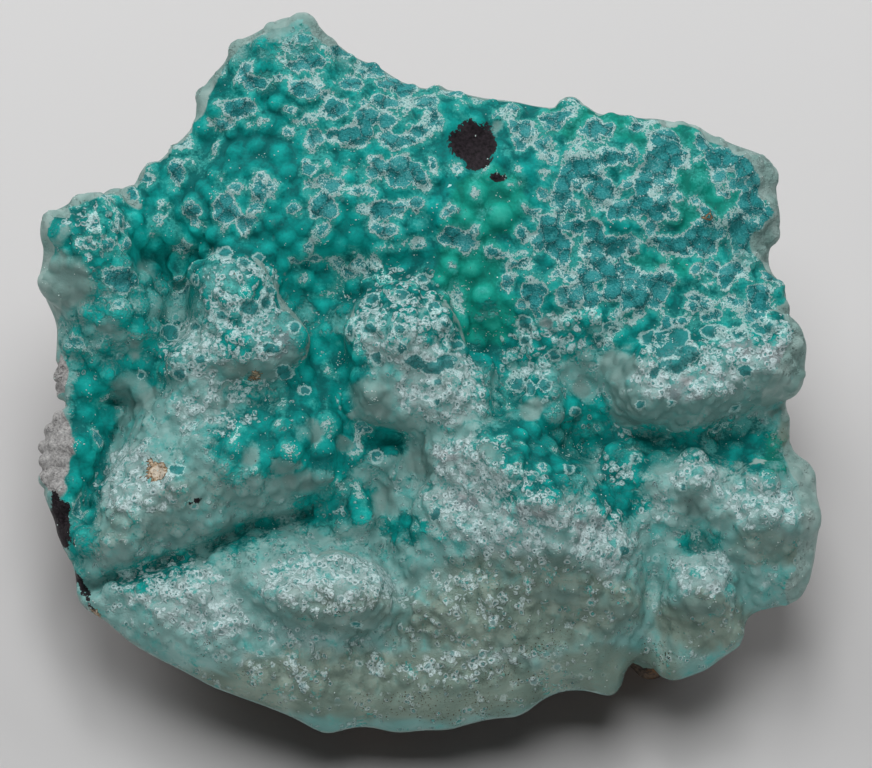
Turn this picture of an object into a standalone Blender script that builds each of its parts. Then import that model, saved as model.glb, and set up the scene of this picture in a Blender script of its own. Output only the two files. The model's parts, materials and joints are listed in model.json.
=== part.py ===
"""Botryoidal smithsonite specimen: one natural solid, resting on the flat cut under its matrix.

The upper side is a crust of rounded lumps and small nodules on a leaning face. Places on it are
given in the face's own frame, in millimetres: across (to the right), up (up the face) and out
(away from the rock). The matrix under the crust tapers to a flat base at z = 0.
"""

import math
import random

import bmesh
import bpy
from mathutils import Matrix, Vector, noise
from mathutils.bvhtree import BVHTree

MM = 0.001

# Driving dimensions, in millimetres and degrees.
FACE_LEAN = 25.0
FACE_HEIGHT = 20.5
VALLEY_OUT = -3.4
VALLEY_SLOPE = -0.14
BASE_WIDTH_SHARE = 0.84
BASE_DEPTH_SHARE = 0.80
BASE_SHIFT_BACK = 1.2
BELOW_FLOOR = 3.0
SEED = 11

# How finely the surface is made: voxels in millimetres, and (rounds, share) of smoothing after each.
LUMP_SEGMENTS = 32
LUMP_RINGS = 18
NODULE_SUBDIVISIONS = 2
BODY_VOXEL = 0.9
BODY_EASE = (5, 0.5)
NODULE_VOXEL = 0.55
NODULE_EASE = (1, 0.5)
TRIANGLES = 9700

# The specimen's outline, seen along the out axis: (across, up), clockwise from the peak.
OUTLINE = [
    (-12.3, 33.2), (-9.2, 31.6), (-7.3, 29.8), (-3.2, 27.8), (0.6, 25.6), (6.0, 25.1), (14.0, 24.0),
    (21.6, 23.4), (27.6, 22.2), (30.6, 20.6), (32.7, 18.0), (32.0, 15.0), (30.8, 12.2), (30.9, 10.4),
    (32.1, 7.0), (34.0, 5.4), (34.5, 2.5), (33.9, 0.0), (32.3, -2.2), (33.4, -5.4), (34.6, -8.0),
    (35.7, -10.6), (36.1, -13.6), (35.8, -17.0), (34.7, -20.8), (33.0, -21.4), (29.9, -22.0),
    (28.6, -24.4), (27.0, -26.4), (25.2, -27.6), (22.9, -28.1), (21.2, -27.2), (19.6, -24.9),
    (18.9, -26.6), (17.0, -29.0), (13.4, -29.0), (10.4, -30.0), (8.0, -31.8), (3.6, -32.9),
    (-2.6, -32.9), (-6.6, -32.6), (-9.9, -33.1), (-14.6, -31.5), (-20.4, -29.6), (-24.6, -26.8),
    (-28.8, -23.9), (-31.8, -21.0), (-33.6, -17.0), (-34.8, -12.8), (-35.9, -8.6), (-35.4, -5.4),
    (-34.3, -3.0), (-34.5, 1.0), (-35.3, 6.0), (-35.9, 10.0), (-35.2, 13.6), (-33.2, 16.0),
    (-29.6, 17.6), (-27.2, 18.0), (-24.2, 20.6), (-21.4, 25.2), (-18.6, 30.4), (-16.0, 32.0),
]

# Rings of the body from its face down to below the floor: (share of the way down, scale).
BODY_RINGS = [
    (0.02, 1.0), (0.10, 1.0), (0.16, 0.965), (0.34, 0.98), (0.60, 1.0), (0.85, 1.0), (1.0, 0.985),
]
FACE_INSET_TOP = 0.985
FACE_INSET_BOTTOM = 0.925

# Rounded lumps: (name, across, up, out, radius across, radius up, radius out, turn in degrees).
LUMPS = [
    ("peak", -13.4, 24.6, -6.9, 6.6, 8.0, 3.9, -8.0),
    ("peak_shoulder", -7.6, 19.8, -6.4, 9.0, 7.6, 4.0, -35.0),
    ("plateau_left", -10.0, 14.6, -5.4, 13.0, 7.6, 4.2, -6.0),
    ("plateau_middle", 4.0, 15.0, -5.6, 13.0, 9.6, 4.4, -10.0),
    ("plateau_right", 19.0, 14.6, -5.8, 13.8, 9.4, 4.6, -8.0),
    ("plateau_front", 14.6, 6.6, -4.8, 13.0, 7.0, 4.4, -16.0),
    ("plateau_end", 26.4, 6.6, -4.6, 6.6, 5.6, 4.0, -30.0),
    ("left_shoulder", -31.6, 11.4, -3.4, 4.2, 6.2, 4.0, 8.0),
    ("shoulder_foot", -29.4, 5.2, -3.8, 4.4, 3.6, 3.2, 0.0),
    ("left_knob", -18.4, 7.4, -2.0, 4.2, 4.0, 4.2, 20.0),
    ("left_knob_front", -16.4, 2.8, -2.0, 5.4, 4.4, 4.8, -15.0),
    ("left_knob_foot", -20.6, 0.4, -2.2, 4.0, 3.8, 4.2, 0.0),
    ("middle_knob", -2.6, 3.0, -2.0, 5.6, 5.6, 5.0, -12.0),
    ("middle_knob_left", -4.0, -0.8, -2.2, 4.4, 4.6, 4.8, 20.0),
    ("middle_knob_front", 1.4, -1.8, -2.0, 4.8, 4.2, 4.8, -30.0),
    ("knob_saddle", 2.8, -6.2, -3.0, 4.4, 3.4, 4.2, -20.0),
    ("right_shelf", 22.6, -0.8, -2.2, 7.8, 4.6, 5.4, 6.0),
    ("right_shelf_end", 29.2, 1.2, -2.4, 5.4, 4.6, 5.2, 24.0),
    ("left_mound", -20.6, -9.6, -2.2, 11.6, 6.0, 5.6, 28.0),
    ("left_mound_tail", -27.4, -14.2, -1.8, 5.4, 4.2, 4.6, 34.0),
    ("left_mound_crest", -13.4, -7.0, -2.6, 6.4, 5.4, 4.8, 24.0),
    ("left_mound_brow", -22.0, -4.6, -3.0, 6.0, 3.4, 4.0, 16.0),
    ("bottom_lobe", -8.6, -20.6, -0.4, 5.8, 4.3, 5.0, -6.0),
    ("bottom_lobe_left", -13.4, -19.8, -0.8, 5.2, 3.5, 4.2, -10.0),
    ("lower_ridge", -16.0, -17.2, -1.4, 5.6, 2.8, 3.6, 6.0),
    ("lower_ridge_tail", -24.4, -19.4, -1.4, 7.2, 2.8, 3.6, 14.0),
    ("lower_left_mass", -20.6, -23.2, -1.2, 9.8, 5.2, 4.2, -28.0),
    ("front_left_mass", -11.0, -27.4, -1.8, 10.0, 5.0, 4.4, -12.0),
    ("big_mound", 11.0, -15.2, -1.2, 9.4, 7.0, 6.0, -20.0),
    ("big_mound_back", 6.4, -9.6, -1.8, 8.0, 4.8, 5.2, -28.0),
    ("big_mound_left", 3.6, -14.8, -2.2, 6.0, 5.6, 5.0, 0.0),
    ("big_mound_brow", 15.6, -20.4, -1.6, 5.0, 4.8, 5.2, 20.0),
    ("front_shelf", 5.0, -22.2, -1.4, 9.0, 4.4, 4.6, -4.0),
    ("front_mass", 1.6, -28.0, -2.2, 9.0, 4.6, 4.4, 4.0),
    ("front_right_mass", 12.4, -25.4, -2.0, 5.8, 4.0, 4.4, 20.0),
    ("right_end", 30.4, -13.0, -2.4, 5.6, 5.6, 5.0, -12.0),
    ("right_end_foot", 31.2, -17.4, -3.0, 4.0, 3.6, 4.2, 0.0),
    ("right_foot", 24.6, -20.0, -2.2, 4.2, 4.2, 4.8, -18.0),
    ("right_foot_tip", 23.4, -24.2, -3.0, 3.9, 3.7, 4.2, 0.0),
    ("right_middle", 24.4, -10.4, -3.0, 4.0, 3.8, 3.6, 0.0),
    ("right_middle_left", 20.4, -9.8, -3.4, 2.8, 3.2, 3.2, 0.0),
    ("right_middle_front", 20.6, -14.6, -3.0, 3.4, 3.8, 3.8, 10.0),
    ("valley_bead", 10.0, -2.6, -2.8, 2.6, 2.4, 2.9, 0.0),
    ("valley_bead_left", -7.4, -6.0, -3.6, 2.6, 2.4, 2.6, 0.0),
    ("valley_bead_low", -4.2, -9.0, -3.2, 2.4, 2.3, 2.4, 0.0),
    ("valley_bead_back", -9.8, -2.2, -3.6, 2.6, 2.5, 2.4, 0.0),
    ("left_rim", -34.0, -8.4, -4.6, 1.7, 4.6, 2.8, 4.0),
]

# Hollows pressed into the face: (name, across, up, radius, depth).
HOLLOWS = [
    ("dark_vug", 4.0, 20.4, 2.6, 1.3),
    ("vug_tail", 6.1, 17.3, 1.1, 0.5),
    ("shoulder_gap", -23.4, 9.6, 3.4, 2.6),
    ("back_crease", -8.6, 9.4, 4.0, 1.4),
    ("left_recess", -29.6, -4.0, 3.4, 2.4),
    ("recess_foot", -31.2, -10.4, 2.6, 1.8),
    ("ridge_cleft", -17.4, -14.0, 3.2, 1.6),
    ("ridge_cleft_left", -25.4, -17.0, 2.6, 1.2),
    ("shelf_corner", 14.0, -6.4, 2.8, 1.8),
    ("shelf_back", 20.4, -6.2, 3.4, 1.2),
    ("lobe_corner", -2.2, -19.0, 2.4, 1.4),
    ("foot_corner", 20.0, -20.0, 2.0, 1.6),
    ("mound_socket", -25.2, -9.2, 1.2, 0.5),
]
HOLLOW_EDGE = 1.5

# Matrix rock, below the crust's lip: flat breaks all round it, roughened by noise.
CRUST_THICKNESS = 2.6
ROCK_FADE = 1.6
BREAKS = 13
BREAK_STRAY = 0.3
BREAK_DEPTHS = (1.5, 5.0)
BREAK_TILTS = (-34.0, 20.0)
ROCK_GRAIN = 8.0
ROCK_OCTAVES = 3
ROCK_RELIEF = 1.3

# Nodules on the crust: random small domes, lower on the plateau and the front than between them.
NODULE_RADII = (1.9, 3.1)
NODULE_SPACING = 4.3
NODULE_GAP = 0.8
NODULE_SUNK = 0.60
LOW_NODULE_SUNK = 0.68
PLATEAU_FROM = 9.0
FRONT_FROM = -21.0
NODULE_TRIES = 6000
ABOVE_ALL = 60.0

STONE_COLOUR = (0.16, 0.55, 0.50, 1.0)
STONE_ROUGHNESS = 0.55

FACE = Matrix.Translation((0, 0, FACE_HEIGHT)) @ Matrix.Rotation(math.radians(FACE_LEAN), 4, "X")
OUT = (FACE.to_3x3() @ Vector((0, 0, 1))).normalized()


def valley_out(up):
    """How far out the floor between the lumps lies at this height up the face."""
    return VALLEY_OUT + VALLEY_SLOPE * up


def clear_scene():
    for obj in list(bpy.data.objects):
        bpy.data.objects.remove(obj)


def new_object(name, mesh, collection):
    obj = bpy.data.objects.new(name, mesh)
    collection.objects.link(obj)
    return obj


def body_ring(share, scale_of):
    """One ring of the body: the outline, partly lowered from the face to under the floor."""
    middle = FACE @ Vector((0, 0, VALLEY_OUT))
    foot = Vector((0, BASE_SHIFT_BACK, -BELOW_FLOOR))
    ring = []
    for across, up in OUTLINE:
        top = FACE @ Vector((across, up, valley_out(up)))
        low = Vector((top.x * BASE_WIDTH_SHARE, top.y * BASE_DEPTH_SHARE + BASE_SHIFT_BACK, -BELOW_FLOOR))
        centre = middle.lerp(foot, share)
        ring.append(centre + (top.lerp(low, share) - centre) * scale_of(up))
    return ring


def face_inset(up):
    """The face's edge is crisp at the top and rounded at the bottom."""
    lowest, highest = min(p[1] for p in OUTLINE), max(p[1] for p in OUTLINE)
    share = (up - lowest) / (highest - lowest)
    return FACE_INSET_BOTTOM + (FACE_INSET_TOP - FACE_INSET_BOTTOM) * share


def add_body(bm):
    """A loft through the rings, capped at both ends."""
    rings = [body_ring(0.0, face_inset)]
    rings += [body_ring(share, lambda up, s=scale: s) for share, scale in BODY_RINGS]
    loops = [[bm.verts.new(point * MM) for point in ring] for ring in rings]
    count = len(OUTLINE)
    for upper, lower in zip(loops, loops[1:]):
        for i in range(count):
            j = (i + 1) % count
            bm.faces.new((upper[i], upper[j], lower[j], lower[i]))
    bm.faces.new(loops[0])
    bm.faces.new(list(reversed(loops[-1])))


def add_lump(bm, lump):
    _, across, up, out, radius_across, radius_up, radius_out, turn = lump
    place = Matrix.Translation(FACE @ Vector((across, up, out)) * MM)
    turned = FACE.to_3x3().to_4x4() @ Matrix.Rotation(math.radians(turn), 4, "Z")
    size = Matrix.Diagonal((radius_across * MM, radius_up * MM, radius_out * MM, 1))
    shape = place @ turned @ size
    bmesh.ops.create_uvsphere(bm, u_segments=LUMP_SEGMENTS, v_segments=LUMP_RINGS, radius=1, matrix=shape)


def remeshed(obj, voxel, ease):
    """The object's shapes fused by a voxel Remesh, eased by a Smooth, as a new mesh."""
    remesh = obj.modifiers.new("Fuse", "REMESH")
    remesh.mode = "VOXEL"
    remesh.voxel_size = voxel * MM
    smooth = obj.modifiers.new("Ease", "SMOOTH")
    smooth.iterations, smooth.factor = ease
    graph = bpy.context.evaluated_depsgraph_get()
    mesh = bpy.data.meshes.new_from_object(obj.evaluated_get(graph))
    obj.modifiers.clear()
    return mesh


def press_hollows(mesh):
    to_face = FACE.inverted()
    for vertex in mesh.vertices:
        place = to_face @ (vertex.co / MM)
        if place.z < valley_out(place.y) - CRUST_THICKNESS:
            continue
        for _, across, up, radius, depth in HOLLOWS:
            away = math.hypot(place.x - across, place.y - up) / radius
            if away < 1:
                vertex.co -= OUT * depth * MM * (1 - away * away) ** HOLLOW_EDGE


def rock_share(vertex, to_face):
    """0 on the crust, rising to 1 on the matrix below its lip."""
    place = to_face @ (vertex.co / MM)
    below = valley_out(place.y) - place.z - CRUST_THICKNESS
    return min(1.0, max(0.0, below / ROCK_FADE))


def break_rock(mesh):
    """Flattens the sides of the matrix to breaks round it, and roughens them."""
    draw = random.Random(SEED)
    to_face = FACE.inverted()
    shares = [rock_share(vertex, to_face) for vertex in mesh.vertices]
    for i in range(BREAKS):
        around = math.radians((i + draw.uniform(-BREAK_STRAY, BREAK_STRAY)) * 360 / BREAKS)
        tilt = math.radians(draw.uniform(*BREAK_TILTS))
        away = Vector((math.cos(around) * math.cos(tilt), math.sin(around) * math.cos(tilt), math.sin(tilt)))
        reach = max(v.co.dot(away) for v, share in zip(mesh.vertices, shares) if share == 1)
        reach -= draw.uniform(*BREAK_DEPTHS) * MM
        for vertex, share in zip(mesh.vertices, shares):
            over = vertex.co.dot(away) - reach
            if over > 0:
                vertex.co -= away * over * share
    for vertex, share in zip(mesh.vertices, shares):
        grain = vertex.co / (ROCK_GRAIN * MM)
        rough = noise.ridged_multi_fractal(grain, 1.0, 2.0, ROCK_OCTAVES, 1.0, 2.0) - 1.0
        level = Vector((vertex.normal.x, vertex.normal.y, 0))
        vertex.co += level * share * rough * ROCK_RELIEF * MM


def nodule_places(mesh):
    """Random spots on the crust, no two closer than the spacing, each with a radius."""
    draw = random.Random(SEED)
    tree = BVHTree.FromPolygons([v.co / MM for v in mesh.vertices], [p.vertices for p in mesh.polygons])
    lowest = min(p[0] for p in OUTLINE), min(p[1] for p in OUTLINE)
    highest = max(p[0] for p in OUTLINE), max(p[1] for p in OUTLINE)
    _, vug_across, vug_up, vug_radius, _ = HOLLOWS[0]
    spots = []
    for _ in range(NODULE_TRIES):
        across, up = draw.uniform(lowest[0], highest[0]), draw.uniform(lowest[1], highest[1])
        radius = draw.uniform(*NODULE_RADII)
        hit, normal, _, _ = tree.ray_cast(FACE @ Vector((across, up, ABOVE_ALL)), -OUT)
        if hit is None or math.hypot(across - vug_across, up - vug_up) < vug_radius + radius:
            continue
        spacing = NODULE_SPACING * radius / NODULE_RADII[1] + NODULE_GAP
        if all((hit - other).length > spacing for other, _, _ in spots):
            spots.append((hit, normal, radius))
    return spots


def add_nodules(bm, mesh):
    to_face = FACE.inverted()
    for hit, normal, radius in nodule_places(mesh):
        between = FRONT_FROM < (to_face @ hit).y < PLATEAU_FROM
        centre = (hit - normal * radius * (NODULE_SUNK if between else LOW_NODULE_SUNK)) * MM
        place = Matrix.Translation(centre)
        bmesh.ops.create_icosphere(bm, subdivisions=NODULE_SUBDIVISIONS, radius=radius * MM, matrix=place)


def reduced(obj):
    """The fused surface in about TRIANGLES triangles, cut off flat at the floor."""
    count = sum(len(p.vertices) - 2 for p in obj.data.polygons)
    decimate = obj.modifiers.new("Reduce", "DECIMATE")
    decimate.ratio = TRIANGLES / count
    decimate.use_collapse_triangulate = True
    graph = bpy.context.evaluated_depsgraph_get()
    mesh = bpy.data.meshes.new_from_object(obj.evaluated_get(graph))
    obj.modifiers.clear()
    bm = bmesh.new()
    bm.from_mesh(mesh)
    geometry = bm.verts[:] + bm.edges[:] + bm.faces[:]
    bmesh.ops.bisect_plane(bm, geom=geometry, plane_co=(0, 0, 0), plane_no=(0, 0, -1), clear_outer=True)
    rim = [edge for edge in bm.edges if edge.is_boundary]
    bmesh.ops.holes_fill(bm, edges=rim, sides=0)
    bmesh.ops.triangulate(bm, faces=[face for face in bm.faces if len(face.verts) > 3])
    bmesh.ops.recalc_face_normals(bm, faces=bm.faces)
    bm.to_mesh(mesh)
    bm.free()
    return mesh


def centre_on_base(mesh):
    """Moves the mesh so that the origin is under the middle of its box."""
    for axis in (0, 1):
        values = [v.co[axis] for v in mesh.vertices]
        middle = (min(values) + max(values)) / 2
        for vertex in mesh.vertices:
            vertex.co[axis] -= middle


def stone_material():
    material = bpy.data.materials.new("smithsonite")
    material.use_nodes = True
    shader = material.node_tree.nodes["Principled BSDF"]
    shader.inputs["Base Color"].default_value = STONE_COLOUR
    shader.inputs["Roughness"].default_value = STONE_ROUGHNESS
    shader.inputs["Metallic"].default_value = 0.0
    return material


def main():
    clear_scene()
    collection = bpy.data.collections.new("smithsonite specimen")
    bpy.context.scene.collection.children.link(collection)

    bm = bmesh.new()
    add_body(bm)
    for lump in LUMPS:
        add_lump(bm, lump)
    mesh = bpy.data.meshes.new("smithsonite")
    bm.to_mesh(mesh)
    bm.free()
    specimen = new_object("smithsonite", mesh, collection)

    specimen.data = remeshed(specimen, BODY_VOXEL, BODY_EASE)
    press_hollows(specimen.data)
    break_rock(specimen.data)

    bm = bmesh.new()
    bm.from_mesh(specimen.data)
    add_nodules(bm, specimen.data)
    bm.to_mesh(specimen.data)
    bm.free()

    specimen.data = remeshed(specimen, NODULE_VOXEL, NODULE_EASE)
    specimen.data = reduced(specimen)
    centre_on_base(specimen.data)
    specimen.data.materials.append(stone_material())
    specimen.data.shade_smooth()


main()
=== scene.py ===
import json
import math

import bpy
import numpy as np
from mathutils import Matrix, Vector, noise
from mathutils.bvhtree import BVHTree
from mathutils.kdtree import KDTree

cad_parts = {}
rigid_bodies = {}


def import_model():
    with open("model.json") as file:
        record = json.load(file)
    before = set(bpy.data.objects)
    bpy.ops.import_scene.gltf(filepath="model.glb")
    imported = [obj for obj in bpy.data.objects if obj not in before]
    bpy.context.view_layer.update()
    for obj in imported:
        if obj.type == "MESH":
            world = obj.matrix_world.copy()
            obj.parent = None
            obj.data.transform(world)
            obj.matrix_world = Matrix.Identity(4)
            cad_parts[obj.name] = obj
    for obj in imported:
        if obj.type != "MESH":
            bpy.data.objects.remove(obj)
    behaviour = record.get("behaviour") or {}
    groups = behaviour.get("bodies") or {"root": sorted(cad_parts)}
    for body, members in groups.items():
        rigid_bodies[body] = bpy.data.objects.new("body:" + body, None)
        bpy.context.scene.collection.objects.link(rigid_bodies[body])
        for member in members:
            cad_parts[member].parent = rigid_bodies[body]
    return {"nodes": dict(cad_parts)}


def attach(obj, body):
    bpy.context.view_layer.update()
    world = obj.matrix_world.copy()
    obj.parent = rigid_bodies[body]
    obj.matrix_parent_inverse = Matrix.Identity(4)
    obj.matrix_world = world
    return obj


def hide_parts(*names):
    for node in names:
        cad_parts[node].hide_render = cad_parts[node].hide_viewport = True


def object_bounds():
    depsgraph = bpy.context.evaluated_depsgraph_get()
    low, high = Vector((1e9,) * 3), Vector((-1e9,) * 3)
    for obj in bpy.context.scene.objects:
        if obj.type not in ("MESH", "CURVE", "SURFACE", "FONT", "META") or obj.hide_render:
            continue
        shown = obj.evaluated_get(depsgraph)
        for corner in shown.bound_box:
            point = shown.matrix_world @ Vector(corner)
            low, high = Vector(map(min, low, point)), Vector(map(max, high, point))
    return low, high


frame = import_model()
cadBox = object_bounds()
mm = 0.001
noiseSeed = 7
noise.seed_set(noiseSeed)  # the same swells at every run
print("frame loaded")

# The crusted face leans back. Places on it are in millimetres: across, up the face and out of it.
face = {
    "lean": math.radians(25.0),
    "height": 20.5,
    "shiftAcross": 0.10,
    "shiftBack": -1.05,
    "valleyOut": -3.4,
    "valleySlope": -0.14,
    "crustThickness": 2.6,
    "farOutside": 9.0,
}
upFace = np.array((0.0, math.cos(face["lean"]), math.sin(face["lean"])))
outFace = np.array((0.0, -math.sin(face["lean"]), math.cos(face["lean"])))


def onFace(points):
    # world points in metres -> across, up, out in millimetres, as three arrays
    points = np.asarray(points, float).reshape(-1, 3) / mm
    points = points - (face["shiftAcross"], face["shiftBack"], face["height"])
    return points[:, 0], points @ upFace, points @ outFace


def ease(low, high, value):
    share = np.clip((value - low) / (high - low), 0.0, 1.0)
    return share * share * (3.0 - 2.0 * share)


# A soft oval is full up to the first share of its size and gone past the second.
ovalEdge = (0.6, 1.35)


def patchShare(patches, across, up):
    # the strongest of some soft ovals: across, up, half width, half height, turn in degrees, strength
    share = np.zeros_like(across)
    for middleAcross, middleUp, halfWidth, halfHeight, turn, strength in patches:
        turned = math.radians(turn)
        right = (across - middleAcross) * math.cos(turned) + (up - middleUp) * math.sin(turned)
        above = (up - middleUp) * math.cos(turned) - (across - middleAcross) * math.sin(turned)
        away = np.hypot(right / halfWidth, above / halfHeight)
        share = np.maximum(share, strength * (1.0 - ease(*ovalEdge, away)))
    return share


def valleyFloor(up):
    # how far out of the face the floor of the valley lies
    return face["valleyOut"] + face["valleySlope"] * up


def crustDepth(up, out):
    # millimetres below the underside of the crust: above 0 is bare rock
    return valleyFloor(up) - out - face["crustThickness"]


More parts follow.
